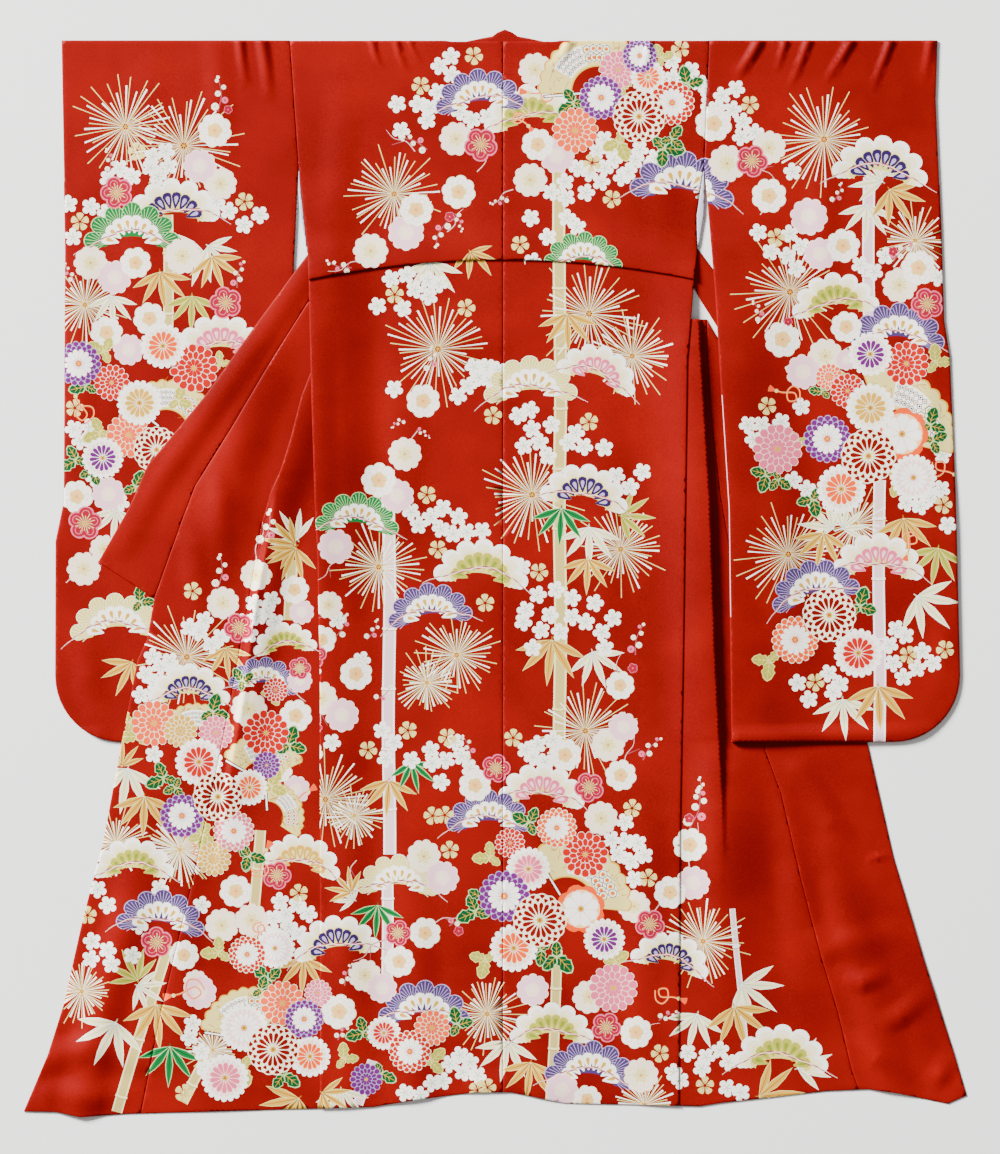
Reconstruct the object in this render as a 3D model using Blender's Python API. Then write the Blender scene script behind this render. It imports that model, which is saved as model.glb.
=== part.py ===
"""A furisode laid flat on a surface with its back up, sleeves spread and fronts swung outwards.

Plan sizes are millimetres in the garment's own plan: x to the right of the centre back seam and
"down" from the shoulder line to the hem. Heights are millimetres above the surface. Left and right
are as seen from above. Each piece is one cloth wall through sections from its top to its foot.
"""
import math
from collections import namedtuple

import bpy
import bmesh
from mathutils import Vector

# Cloth
WALL = 1.2               # silk with its lining, pressed together
GAP = 0.3                # clearance at seams and between layers
LAYER = WALL + GAP       # height from one layer's middle to the next
FLOOR_LAYER = WALL / 2   # middle of a wall that rests on the surface

# Main lengths
SLEEVE_DROP = 1107
CUFF_OPENING = 230
SLEEVE_CORNER = 105      # rounded lower outer corner
LAP = 12                 # what a back edge laps over its front
SLACK = 0.25             # extra layers' height where one cloth bridges the ramps of another
TUCK_DOWN = 346          # waist tuck below the shoulder, at the centre
TUCK_SAG = 32            # how much lower it is at the sides
TUCK_DEPTH = 24
NAPE_X = 3
NECK_HALF = 80
NECK_DIP = 8
COLLAR_PEAK = 22         # collar above the shoulder line at the nape
HEM_LEFT, HEM_RIGHT, HEM_LOWEST = -757.0, 732.5, 1700.0

# Sections: distances down where they must fall, and how many there are
SIDE_DOWNS = (0, 60, 130, 197, 235, 275, 335)
RIGHT_TOP_DOWNS = (*SIDE_DOWNS[:-1], 322)   # the right upper front narrows to nothing just below
LINING_DOWNS = (206, 235, 275, 325)
SLEEVE_DOWNS = (0, 95, 200, CUFF_OPENING, 330, 440, 560, 680, 790, 890, 960, 1010, 1045, 1075, 1095,
                SLEEVE_DROP)
SLEEVE_SHARES = (0, 0.07, 0.25, 0.45, 0.65, 0.85, 1)
FRONT_ROWS = 30
COLLAR_ROWS = 22
BACK_ROWS = 24           # below the tuck
BACK_COLUMNS = 8

CENTRE_X = (HEM_LEFT + HEM_RIGHT) / 2
CENTRE_DOWN = (HEM_LOWEST - COLLAR_PEAK) / 2
METRES = 0.001

Spot = namedtuple("Spot", "x down")
Fold = namedtuple("Fold", "crest height left right")
Crest = namedtuple("Crest", "down x share")
Finish = namedtuple("Finish", "colour roughness")

RED_SILK = Finish((0.48, 0.014, 0.007, 1), 0.5)
PRINTED_SILK = Finish((0.40, 0.035, 0.018, 1), 0.5)
COLLAR_SILK = Finish((0.43, 0.012, 0.006, 1), 0.52)
LINING_SILK = Finish((0.48, 0.46, 0.50, 1), 0.45)


# Lines of the plan, each a short table of spots from the top down

def line(*pairs):
    """A line of the plan from (x, down) pairs."""
    return [Spot(float(x), float(down)) for x, down in pairs]


HEM = line(
    (HEM_LEFT, 1691), (-705, 1692), (-667, HEM_LOWEST), (-594, 1695), (-447, 1691), (-205, 1684),
    (-133, 1672), (-43, 1661), (13, 1661), (98, 1678), (310, 1683), (343, 1678),
    (510, 1659), (577, 1656), (621, 1662), (703, 1679), (HEM_RIGHT, 1666),
)
BACK_EDGE_LEFT = line(
    (-336.5, 0), (-322.7, 197), (-319, 235), (-314.5, 275), (-308.3, 335), (-306.5, 378),
    (-302, 567), (-297, 725), (-292.5, 820), (-289, 1000), (-289, 1690),
)
BACK_EDGE_RIGHT = line(
    (325.5, 0), (317.6, 197), (311.5, 235), (305.7, 275), (306.5, 335), (302, 378),
    (291, 504), (284, 1017), (280, 1239), (278, 1690),
)
OKUMI_SEAM_LEFT = line(
    (-294, 556), (-316, 590), (-335, 640), (-362, 697), (-379, 755), (-400, 874),
    (-430, 1041), (-452, 1152), (-490, 1326), (-540, 1534), (-572, 1692),
)
OKUMI_SEAM_RIGHT = line(
    (322, 440), (326, 560), (344, 720), (372, 874), (414, 1120), (439, 1188),
    (471, 1326), (501, 1441), (529, 1534), (551, 1626), (562, 1657),
)
OKUMI_EDGE_LEFT = line(
    (-551, 884), (-562, 946), (-577, 978), (-602, 1109), (-632, 1267), (-663, 1384),
    (-694, 1522), (-719, 1602), (HEM_LEFT, 1691),
)
OKUMI_EDGE_RIGHT = line((551, 884), (575, 1106), (617, 1289), (666, 1454), (710, 1591), (HEM_RIGHT, 1666))
COLLAR_OUTER = line(
    (-639, 823), (-591, 739), (-561, 670), (-529, 632), (-469, 559), (-397, 458),
    (-331, 368), (-310, 340), (-215, 208), (-75, 14), (-58, -8), (NAPE_X, -COLLAR_PEAK),
)
COLLAR_INNER = line(
    (-551, 881), (-507, 758), (-486, 703), (-423, 605), (-362, 476), (-311, 425),
    (-262, 330), (-150, 160), (-58, 46), (-34, 34), (NAPE_X, 30),
)
SLEEVE_INNER_LEFT = line((-336.8, 0), (-323, 197), (-331, 367), (-345, 700), (-352, SLEEVE_DROP))
SLEEVE_OUTER_LEFT = line((-697, 0), (-691, 330), (-693, 728), (-706, 790), (-707, SLEEVE_DROP))
SLEEVE_INNER_RIGHT = line((325.8, 0), (317.9, 197), (335, 397), (345, 567), (356, 741), (361, SLEEVE_DROP))
SLEEVE_OUTER_RIGHT = line(
    (686, 0), (683, 93), (692, 299), (696, 441), (705, 498), (714, 706), (721, 995), (721, SLEEVE_DROP),
)
FOLD_EDGE_RIGHT = line(
    (306.5, 343), (311, 378), (319, 567), (330, 725), (338, 962), (346, 1101), (354, 1294), (356, 1680),
)
FRONT_TOP_LEFT = line((-336.5, 0), (-322.7, 197), (-323.5, 235), (-321, 275), (-309.8, 335))
FRONT_TOP_RIGHT = line((325.5, 0), (317.6, 197), (319, 235), (317.5, 275), (308, 335))

# Heights of the layers, as shares between two places of the plan
LEFT_ACROSS = ((-280, 1), (-200, 0))
LEFT_DOWN = ((200, 0), (290, 1), (SLEEVE_DROP + 50, 1), (SLEEVE_DROP + 140, 0))
COVER_DOWN = ((450, 1), (510, 0))       # the upper fronts and the collar under the back
COVER_ASIDE = ((195, 0), (255, 1))      # the lap over the fronts, from the centre seam
ABOVE_COLLAR = ((75, 1), (155, 0))      # the right sleeve, from the collar's outer edge
TUCK_RISE = ((-75, 0), (-5, 1))         # the back above its tuck, from the tuck line
NECK_ASIDE = ((NECK_HALF, 1), (NECK_HALF + 12, 0))
HEM_PULL = ((0.6, 0), (1, 1))           # how a sheet's sections follow the hem's curve

# Largest folds: crest down the cloth, height in mm, and reach to the left and the right of it
LEFT_RIDGE = Fold(
    [Crest(640, -345, 0), Crest(773, -366, 1), Crest(883, -388, 1), Crest(1041, -408, 0.9),
     Crest(1152, -428, 0.55), Crest(1330, -452, 0)], 9.0, 18.0, 58.0,
)
RIGHT_RIDGE = Fold(
    [Crest(345, 300, 0), Crest(480, 305, 0.8), Crest(725, 320, 1), Crest(962, 329, 1),
     Crest(1101, 336, 0.9), Crest(1294, 344, 0.55), Crest(1515, 347, 0)], 7.5, 52.0, 17.0,
)
LEFT_EDGE_ROLL = Fold(
    [Crest(400, -306, 0), Crest(500, -302, 1), Crest(820, -293, 1), Crest(1050, -290, 0)],
    3.0, 30.0, 42.0,
)
RIGHT_FRONT_WAVE = Fold(
    [Crest(1150, 498, 0), Crest(1300, 520, 0.8), Crest(1480, 570, 1), Crest(1690, 622, 0.6)],
    5.0, 45.0, 55.0,
)
LEFT_HEM_WAVE = Fold(
    [Crest(1290, -560, 0), Crest(1430, -606, 0.8), Crest(1560, -640, 1), Crest(1700, -668, 0.7)],
    6.0, 48.0, 48.0,
)
BACK_WAVE = Fold(
    [Crest(1180, -150, 0), Crest(1350, -146, 0.8), Crest(1520, -138, 1), Crest(1690, -133, 0.8)],
    4.0, 60.0, 50.0,
)


# Reading the tables

def between(low, high, share):
    """A value part of the way from low to high."""
    return low + (high - low) * share


def ramp(pairs, value):
    """Reads a table of shares with soft steps between its rows."""
    share = read(pairs, value)
    return share * share * (3 - 2 * share)


def read(pairs, value):
    """Reads a table of (key, value) pairs, straight between its rows and level past its ends."""
    if value <= pairs[0][0]:
        return pairs[0][1]
    for (low, first), (high, last) in zip(pairs, pairs[1:]):
        if value <= high:
            return between(first, last, (value - low) / (high - low))
    return pairs[-1][1]


def edge_x(edge, down):
    """Where an edge line lies across the plan at a distance down."""
    return read([(spot.down, spot.x) for spot in edge], down)


def hem_down(x):
    """How far down the hem lies at x."""
    return read([(spot.x, spot.down) for spot in HEM], x)


def shifted(edge, x):
    """The same line moved across the plan."""
    return [Spot(spot.x + x, spot.down) for spot in edge]


def stretch(edge, top, foot):
    """The part of a line from top to foot, both distances down."""
    inner = [spot for spot in edge if top < spot.down < foot]
    return [Spot(edge_x(edge, top), top), *inner, Spot(edge_x(edge, foot), foot)]


def mirrored(edge):
    """The same line on the other side of the nape."""
    return [Spot(2 * NAPE_X - spot.x, spot.down) for spot in edge]


def mixed(first, last, share):
    """A line part of the way from one line to another, both with the same rows."""
    return [Spot(between(a.x, b.x, share), between(a.down, b.down, share)) for a, b in zip(first, last)]


def spread(edge, rows):
    """A line's spots for each section, evenly along it."""
    return [walk(edge, row / rows) for row in range(rows + 1)]


def level_spots(edge, downs):
    """A line's spots for sections at given distances down."""
    return [Spot(edge_x(edge, down), float(down)) for down in downs]


def walk(edge, share):
    """The spot at a share of a line's length."""
    runs = [math.dist(a, b) for a, b in zip(edge, edge[1:])]
    left = share * sum(runs)
    for (a, b), run in zip(zip(edge, edge[1:]), runs):
        if left <= run:
            return Spot(between(a.x, b.x, left / run), between(a.down, b.down, left / run))
        left -= run
    return edge[-1]


def fold_height(fold, x, down):
    """Height that one fold adds at a place of the plan, nothing past its reach."""
    share = read([(crest.down, crest.share) for crest in fold.crest], down)
    aside = x - read([(crest.down, crest.x) for crest in fold.crest], down)
    reach = fold.left if aside < 0 else fold.right
    if share <= 0 or abs(aside) >= reach:
        return 0.0
    return fold.height * share * (0.5 + 0.5 * math.cos(math.pi * aside / reach))


# Levels, counted in layers above the one on the surface

def left_level(x, down):
    """Layers under the left front, which lies on the left sleeve and comes down below it."""
    return 2 * ramp(LEFT_ACROSS, x) * ramp(LEFT_DOWN, down)


def back_left_level(x, down):
    """Layers under the left back, which lies on the left front near its side and on the upper front."""
    return left_level(x, down) + back_right_level(-x, down)


def back_right_level(x, down):
    """Layers under the right back."""
    return (1 + SLACK) * max(ramp(COVER_DOWN, down), ramp(COVER_ASIDE, x))


def sleeve_right_level(x, down):
    """Layers under the right sleeve: one where it lies on the right front, none above its collar."""
    foot, top = mirrored([COLLAR_OUTER[0], COLLAR_OUTER[7]])
    across, along = foot.x - top.x, foot.down - top.down
    above = ((x - top.x) * along - (down - top.down) * across) / math.hypot(across, along)
    return ramp(ABOVE_COLLAR, above)


def level_height(level, x, down):
    """Height of a wall's middle at a level."""
    return FLOOR_LAYER + LAYER * level(x, down)


def surface_level(x, down):
    """The level of what rests on the surface."""
    return 0.0


# Sections

def sections(lines, fills, level, folds=(), to_hem=False):
    """Sections from the top of a sheet to its foot, each a row of (x, down, height).

    lines run from top to foot with a spot for each section, and fills gives the steps across
    from each line to the next.
    """
    plan = [filled(ends, fills) for ends in zip(*lines)]
    to_reach = [hem_down(spot.x) - spot.down if to_hem else 0.0 for spot in plan[-1]]
    result = []
    for row, spots in enumerate(plan):
        pull = ramp(HEM_PULL, row / (len(plan) - 1))
        spots = [Spot(spot.x, spot.down + pull * reach) for spot, reach in zip(spots, to_reach)]
        result.append([
            (s.x, s.down, level_height(level, s.x, s.down) + sum(fold_height(f, *s) for f in folds))
            for s in spots
        ])
    return result


def filled(ends, fills):
    """A row of spots with the steps between the lines filled in."""
    spots = [ends[0]]
    for a, b, steps in zip(ends, ends[1:], fills):
        spots += [Spot(between(a.x, b.x, step / steps), between(a.down, b.down, step / steps))
                  for step in range(1, steps + 1)]
    return spots


def back_profile():
    """The back's sections as (part, place in it, layers raised), with the tuck's fold between."""
    top = [("top", down / (TUCK_DOWN + TUCK_SAG), None) for down in SIDE_DOWNS]
    lip, bend = FLOOR_LAYER + GAP / 2, 1.0
    tuck = [
        ("tuck", -2 * bend, 2),
        ("tuck", lip - bend, 1.5),
        ("tuck", -2 * bend, 1),
        ("tuck", 2 * bend - TUCK_DEPTH, 1),
        ("tuck", bend - lip - TUCK_DEPTH, 0.5),
        ("tuck", 2 * bend - TUCK_DEPTH, 0),
    ]
    foot = [("foot", row / BACK_ROWS, 0) for row in range(BACK_ROWS + 1)]
    return top + tuck + foot


def back_sections(side, level, folds, sign):
    """Sections of half a back from the shoulder to the hem, with the waist tuck folded into it."""
    def across(down, share):
        """The x of a column at a distance down."""
        return sign * between(GAP / 2, abs(edge_x(side, down)), share)

    result = []
    for part, place, raised in back_profile():
        row = []
        for column in range(BACK_COLUMNS + 1):
            share = column / BACK_COLUMNS
            x = across(TUCK_DOWN, share)
            tuck = TUCK_DOWN + TUCK_SAG * (x / side_reach(side)) ** 2
            if part == "top":
                down = between(NECK_DIP * ramp(NECK_ASIDE, abs(x)), tuck, place)
                raised = 2 * ramp(TUCK_RISE, down - tuck)
            elif part == "tuck":
                down = tuck + place
            else:
                down = between(tuck + TUCK_DEPTH / 4, hem_down(across(side[-1].down, share)), place)
            x = across(down, share)
            height = level_height(level, x, down) + LAYER * raised
            row.append((x, down, height + sum(fold_height(f, x, down) for f in folds)))
        result.append(row)
    return result


def side_reach(side):
    """How far from the centre seam a back's side edge lies at the tuck."""
    return abs(edge_x(side, TUCK_DOWN + TUCK_SAG))


# Meshes

def to_world(point):
    """Plan millimetres to metres about the middle of the outline's box."""
    x, down, height = point
    return ((x - CENTRE_X) * METRES, (CENTRE_DOWN - down) * METRES, height * METRES)


def finish_material(name, finish):
    """A plain Principled material of one finish."""
    material = bpy.data.materials.new(name)
    material.use_nodes = True
    shader = material.node_tree.nodes["Principled BSDF"]
    shader.inputs["Base Color"].default_value = finish.colour
    shader.inputs["Roughness"].default_value = finish.roughness
    return material


def cloth(name, mesh_data, finish):
    """A closed cloth wall about a middle sheet."""
    mesh = bpy.data.meshes.new(name)
    bmesh.ops.recalc_face_normals(mesh_data, faces=mesh_data.faces)
    mesh_data.to_mesh(mesh)
    mesh_data.free()
    piece = bpy.data.objects.new(name, mesh)
    bpy.context.scene.collection.objects.link(piece)
    mesh.materials.append(finish_material(name, finish))
    mesh.shade_smooth()
    wall_maker = piece.modifiers.new("Wall", "SOLIDIFY")
    wall_maker.thickness = WALL * METRES
    wall_maker.offset = 0.0
    wall_maker.use_even_offset = True
    return piece


def sheet(name, rows, finish):
    """A piece from one set of sections."""
    mesh_data = bmesh.new()
    add_layer(mesh_data, rows)
    return cloth(name, mesh_data, finish)


def add_layer(mesh_data, rows):
    """Adds the quads between sections and gives back their vertices, row by row."""
    grid = [[mesh_data.verts.new(to_world(point)) for point in row] for row in rows]
    for upper, lower in zip(grid, grid[1:]):
        for column in range(len(upper) - 1):
            mesh_data.faces.new((upper[column], upper[column + 1], lower[column + 1], lower[column]))
    return grid


def sleeve_line(inner, outer, share, sign):
    """A line down a sleeve, a share of the way from its inner to its outer edge."""
    spots = []
    for down in SLEEVE_DOWNS:
        into_corner = max(down - (SLEEVE_DROP - SLEEVE_CORNER), 0)
        cut = SLEEVE_CORNER - math.sqrt(SLEEVE_CORNER ** 2 - into_corner ** 2)
        rim = edge_x(outer, down) - sign * cut
        spots.append(Spot(between(edge_x(inner, down), rim, share), float(down)))
    return spots


def sleeve(name, inner, outer, level, sign, finish):
    """A sleeve: cloth folded over at the shoulder, closed at its foot and up to the wrist opening."""
    lines = [sleeve_line(inner, outer, share, sign) for share in SLEEVE_SHARES]
    front = [[(s.x, s.down, level_height(level, *s)) for s in row] for row in zip(*lines)]
    back = [[(x, down, height + LAYER) for x, down, height in row] for row in front]
    mesh_data = bmesh.new()
    lower, upper = add_layer(mesh_data, front), add_layer(mesh_data, back)
    centre = (lower[0][0].co + lower[-1][-1].co) / 2
    join_rims(mesh_data, lower[0], upper[0], centre)
    closed = [row for row, spot in enumerate(lines[-1]) if spot.down >= CUFF_OPENING]
    around = [(row, -1) for row in closed] + [(-1, column) for column in reversed(range(len(lines) - 1))]
    join_rims(mesh_data, [lower[i][j] for i, j in around], [upper[i][j] for i, j in around], centre)
    return cloth(name, mesh_data, finish)


def join_rims(mesh_data, lower, upper, centre):
    """Closes the narrow side between two layers with a bend that stands out a little from centre."""
    middles = []
    for a, b, before, after in zip(lower, upper, lower[:1] + lower, lower[1:] + lower[-1:]):
        along = (after.co - before.co).normalized()
        outwards = Vector((along.y, -along.x, 0))
        if outwards.dot(a.co - centre) < 0:
            outwards.negate()
        middles.append(mesh_data.verts.new((a.co + b.co) / 2 + outwards * LAYER / 2 * METRES))
    for first, last in ((lower, middles), (middles, upper)):
        for a, b, c, d in zip(first, first[1:], last[1:], last):
            mesh_data.faces.new((a, b, c, d))


# Pieces of the garment

def build_sleeves():
    """Both sleeves. The left lies on the surface and the right on the right front."""
    sleeve("sleeve_left", SLEEVE_INNER_LEFT, SLEEVE_OUTER_LEFT, surface_level, -1, PRINTED_SILK)
    sleeve("sleeve_right", SLEEVE_INNER_RIGHT, SLEEVE_OUTER_RIGHT, sleeve_right_level, 1, PRINTED_SILK)


def build_backs():
    """Both halves of the back, sewn down the centre, each with the waist tuck."""
    rows = back_sections(BACK_EDGE_LEFT, back_left_level, (LEFT_EDGE_ROLL, BACK_WAVE), -1)
    sheet("back_left", rows, PRINTED_SILK)
    rows = back_sections(BACK_EDGE_RIGHT, back_right_level, (RIGHT_RIDGE,), 1)
    sheet("back_right", rows, PRINTED_SILK)


def build_front_left():
    """The left front from the underarm to the hem, its inner edge lapped by the back."""
    under = stretch(shifted(BACK_EDGE_LEFT, LAP), 548, 1690)
    seam = shifted(OKUMI_SEAM_LEFT, GAP)
    crest = line((-299, 560), (-335, 700), (-366, 773), (-388, 883), (-408, 1041), (-428, 1152),
                 (-445, 1326), (-480, 1534), (-505, 1690))
    under, crest, seam = (spread(edge, FRONT_ROWS) for edge in (under, crest, seam))
    lines = [under, mixed(under, crest, 0.5), crest, seam]
    rows = sections(lines, [2, 2, 2], left_level, (LEFT_RIDGE, LEFT_EDGE_ROLL), True)
    sheet("front_left", rows, PRINTED_SILK)


def build_front_right():
    """The right front, which turns over a long fold beside the back and goes on under the sleeve."""
    edge = stretch(BACK_EDGE_RIGHT, 440, 1690)
    fold = stretch(FOLD_EDGE_RIGHT, 440, 1680)
    seam = shifted(OKUMI_SEAM_RIGHT, -GAP)
    crest = shifted(fold, -12)
    foot = [Spot(min(spot.x + 8, edge_x(seam, spot.down) - 1), spot.down) for spot in fold]
    lines = [spread(edge, FRONT_ROWS) for edge in (shifted(edge, -LAP), edge, crest, foot, seam)]
    rows = sections(lines, [1, 2, 2, 3], surface_level, (RIGHT_RIDGE, RIGHT_FRONT_WAVE), True)
    sheet("front_right", rows, PRINTED_SILK)


def build_front_tops():
    """The upper fronts, folded under the back from the shoulder to the underarm."""
    collar_side = shifted(COLLAR_OUTER[-2:-6:-1], -2)
    top = Spot(-92, 2)
    inner = [top, *level_spots(collar_side, SIDE_DOWNS[1:])]
    outer = shifted(level_spots(FRONT_TOP_LEFT, SIDE_DOWNS), GAP)
    sheet("front_top_left", sections([inner, outer], [4], left_level), LINING_SILK)
    inner = mirrored([top, *level_spots(collar_side, RIGHT_TOP_DOWNS[1:])])
    outer = shifted(level_spots(FRONT_TOP_RIGHT, RIGHT_TOP_DOWNS), -GAP)
    sheet("front_top_right", sections([inner, outer], [4], surface_level), LINING_SILK)


def build_okumi_left():
    """The left overlap panel, from the collar to the hem, over the left sleeve."""
    seam = spread(shifted(OKUMI_SEAM_LEFT, -GAP), FRONT_ROWS)
    inner = [*level_spots(line((-297, 438), (-295, 530)), (438, 470, 500, 530)), *seam]
    middle = line((-432, 632), (-480, 880), (-508, 1100), (-560, 1320), (-622, 1540), (-664, HEM_LOWEST))
    lines = [inner, spread(middle, len(inner) - 1), spread(OKUMI_EDGE_LEFT, len(inner) - 1)]
    rows = sections(lines, [3, 3], left_level, (LEFT_RIDGE, LEFT_HEM_WAVE), True)
    sheet("okumi_left", rows, PRINTED_SILK)


def build_okumi_right():
    """The right overlap panel, on the surface under the right sleeve."""
    inner = shifted(OKUMI_SEAM_RIGHT, GAP)
    middle = line((432, 636), (450, 880), (495, 1100), (545, 1320), (596, 1540), (640, 1664))
    lines = [spread(edge, FRONT_ROWS) for edge in (inner, middle, OKUMI_EDGE_RIGHT)]
    rows = sections(lines, [2, 2], surface_level, (RIGHT_FRONT_WAVE,), True)
    sheet("okumi_right", rows, RED_SILK)


def build_collar():
    """The collar strip: up the left front, under the back to the nape, and down the right front."""
    left = [spread(edge, COLLAR_ROWS) for edge in (COLLAR_OUTER, COLLAR_INNER)]
    right = [mirrored(edge[-2::-1]) for edge in left]
    rows = sections(left, [2], left_level) + sections(right, [2], surface_level)
    sheet("collar", rows, COLLAR_SILK)


def build_linings():
    """Narrow strips of lining on the upper fronts, seen in the underarm gaps."""
    inner = shifted(level_spots(BACK_EDGE_LEFT, LINING_DOWNS), -GAP)
    outer = shifted(level_spots(FRONT_TOP_LEFT, LINING_DOWNS), GAP)
    rows = sections([inner, outer], [1], lambda x, down: left_level(x, down) + 1)
    sheet("lining_left", rows, LINING_SILK)
    inner = shifted(level_spots(BACK_EDGE_RIGHT, LINING_DOWNS), GAP)
    outer = shifted(level_spots(FRONT_TOP_RIGHT, LINING_DOWNS), -GAP)
    sheet("lining_right", sections([inner, outer], [1], lambda x, down: 1.0), LINING_SILK)


def build():
    """The whole garment."""
    for thing in list(bpy.data.objects):
        bpy.data.objects.remove(thing)
    build_sleeves()
    build_front_tops()
    build_front_left()
    build_front_right()
    build_okumi_left()
    build_okumi_right()
    build_collar()
    build_linings()
    build_backs()


build()
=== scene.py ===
"""The looks of a furisode that lies flat with its back up, sleeves spread and fronts swung outwards.

Plan places are millimetres: x to the right of the centre back seam and "down" from the shoulder
line to the hem. Heights are millimetres above the floor. Each sewn piece is a closed shell of
cloth. Its dyed pattern is cut into the cloth's own faces, so every dye ends on a sharp edge.
"""
import logging
import math
from dataclasses import dataclass, field
from enum import Enum
from typing import Callable, Optional, Sequence

import bpy
import numpy as np
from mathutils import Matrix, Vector
from mathutils.geometry import delaunay_2d_cdt
from mathutils.kdtree import KDTree

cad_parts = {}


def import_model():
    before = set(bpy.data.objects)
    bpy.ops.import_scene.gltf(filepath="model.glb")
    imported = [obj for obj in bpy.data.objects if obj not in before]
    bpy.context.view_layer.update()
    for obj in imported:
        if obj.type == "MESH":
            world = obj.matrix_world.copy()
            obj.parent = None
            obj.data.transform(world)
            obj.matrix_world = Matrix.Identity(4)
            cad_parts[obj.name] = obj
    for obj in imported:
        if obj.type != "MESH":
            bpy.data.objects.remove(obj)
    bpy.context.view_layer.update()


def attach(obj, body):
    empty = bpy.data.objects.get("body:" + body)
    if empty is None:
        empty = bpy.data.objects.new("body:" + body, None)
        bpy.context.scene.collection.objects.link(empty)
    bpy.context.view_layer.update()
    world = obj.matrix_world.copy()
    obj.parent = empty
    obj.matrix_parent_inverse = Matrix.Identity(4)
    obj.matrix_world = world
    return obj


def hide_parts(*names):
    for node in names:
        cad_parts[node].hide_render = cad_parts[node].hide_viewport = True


LOG = logging.getLogger("furisode")

# Cloth and main lengths
WALL = 1.2                      # silk with its lining, pressed together
GAP = 0.3                       # clearance at seams and between layers
LAYER = WALL + GAP
FLOOR_LAYER = WALL / 2          # middle of a wall that lies on the floor
ROUNDING = 2.4                  # how far in from its edge a cloth turns down
SOFT_RIM = 0.4                  # and how far beyond that its faces set the shading
SLEEVE_DROP = 1107.0            # from the shoulder to the sleeve's foot
CUFF_OPENING = 230.0            # how far down the wrist opening goes
SLEEVE_CORNER = 105.0           # radius of the sleeve's lower corner
LAP = 12.0                      # what a back edge laps over its front
TUCKED = 28.0                   # how much further cloth goes on under a raised edge
SEAM = 0.04                     # half of the hairline between pieces sewn side by side
SLACK = 0.25                    # share of a layer by which the back lies above those under it
TUCK_DOWN = 346.0               # the waist tuck at the centre seam
TUCK_SAG = 32.0                 # how much lower it lies at the sides of the back
TUCK_LAP = 18.0                 # the lower back goes on under the tuck
HALF_BACK = 306.0               # from the centre seam to those sides
NAPE_X = 3.0                    # the collar's middle
COLLAR_PEAK = 22.0              # how far the collar stands above the shoulder line
HEM_LEFT, HEM_RIGHT, HEM_LOWEST = -757.0, 732.5, 1700.0

# The plan spot that lies at the frame's origin
CENTRE_X = (HEM_LEFT + HEM_RIGHT) / 2
CENTRE_DOWN = (HEM_LOWEST - COLLAR_PEAK) / 2
METRES = 0.001

# The view: the plan spot that the camera looks at, and the length that fills the frame's height
VIEW_X, VIEW_DOWN = -4.7, 846.9
VIEW_HEIGHT = 1823.0
CAMERA_HEIGHT = 7.0             # metres
SENSOR = 36.0                   # width of the film in millimetres

# How finely cloth is cut into faces, in millimetres
GRID = 4.5                      # finest spacing of the points inside a sheet
ROWS = 0.866                    # spacing of the rows of that triangular grid, as a share of it
SOFT_BEND = 0.3                 # bends past these over 9 mm get the finer grids
SHARP_BEND = 0.8
EDGE_STEP = 9.0                 # spacing of the spots along a sheet's outline
BENT_STEP = 5.0                 # their spacing along a figure that lies over a bend
FIGURE_BEND = 0.15              # how far a figure's edge may leave the cloth
SAME_SPOT = 0.05                # spots of an outline nearer than this are one
WELD = 0.01                     # and so are crossings of outlines nearer than this
RIM_STEP = 2.5                  # spacing of the samples that distances to an outline use
CLEAR_OF_RIM = 2.6              # how far the grid stays inside the outline
INSETS = (1.1, 2.3)             # rows of points inside the outline, where the cloth rounds off
ON_EDGE = 0.3                   # how near a spot has to be to lie on an edge line

Table = Sequence[tuple]
Level = Callable[[np.ndarray, np.ndarray], np.ndarray]


# Lines of the plan, each from the top down

def line(*pairs: tuple) -> np.ndarray:
    """A line of the plan from (x, down) pairs."""
    return np.array(pairs, float)


HEM = line(
    (HEM_LEFT, 1691), (-705, 1692), (-667, HEM_LOWEST), (-594, 1695), (-447, 1691), (-205, 1684),
    (-133, 1672), (-43, 1661), (13, 1661), (98, 1678), (310, 1683), (343, 1678),
    (510, 1659), (577, 1656), (621, 1662), (703, 1679), (HEM_RIGHT, 1666),
)
BACK_EDGE_LEFT = line(
    (-336.5, 0), (-322.7, 197), (-319, 235), (-314.5, 275), (-308.3, 335), (-306.5, 378),
    (-302, 567), (-297, 725), (-292.5, 820), (-289, 1000), (-289, 1690),
)
BACK_EDGE_RIGHT = line(
    (325.5, 0), (317.6, 197), (311.5, 235), (305.7, 275), (306.5, 335), (302, 378),
    (291, 504), (284, 1017), (280, 1239), (278, 1690),
)
OKUMI_SEAM_LEFT = line(
    (-294, 500), (-318, 562), (-335, 628), (-350, 676), (-366, 712), (-381, 762), (-400, 874),
    (-430, 1041), (-452, 1152), (-490, 1326), (-540, 1534), (-572, 1694),
)
OKUMI_SEAM_RIGHT = line(
    (322, 440), (326, 560), (344, 720), (372, 874), (414, 1120), (439, 1188),
    (471, 1326), (501, 1441), (529, 1534), (551, 1626), (562, 1657),
)
OKUMI_EDGE_LEFT = line(
    (-551, 884), (-562, 946), (-577, 978), (-602, 1109), (-632, 1267), (-663, 1384),
    (-694, 1522), (-719, 1602), (HEM_LEFT, 1691),
)
OKUMI_EDGE_RIGHT = line((551, 884), (575, 1106), (617, 1289), (666, 1454), (710, 1591), (HEM_RIGHT, 1666))
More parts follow.
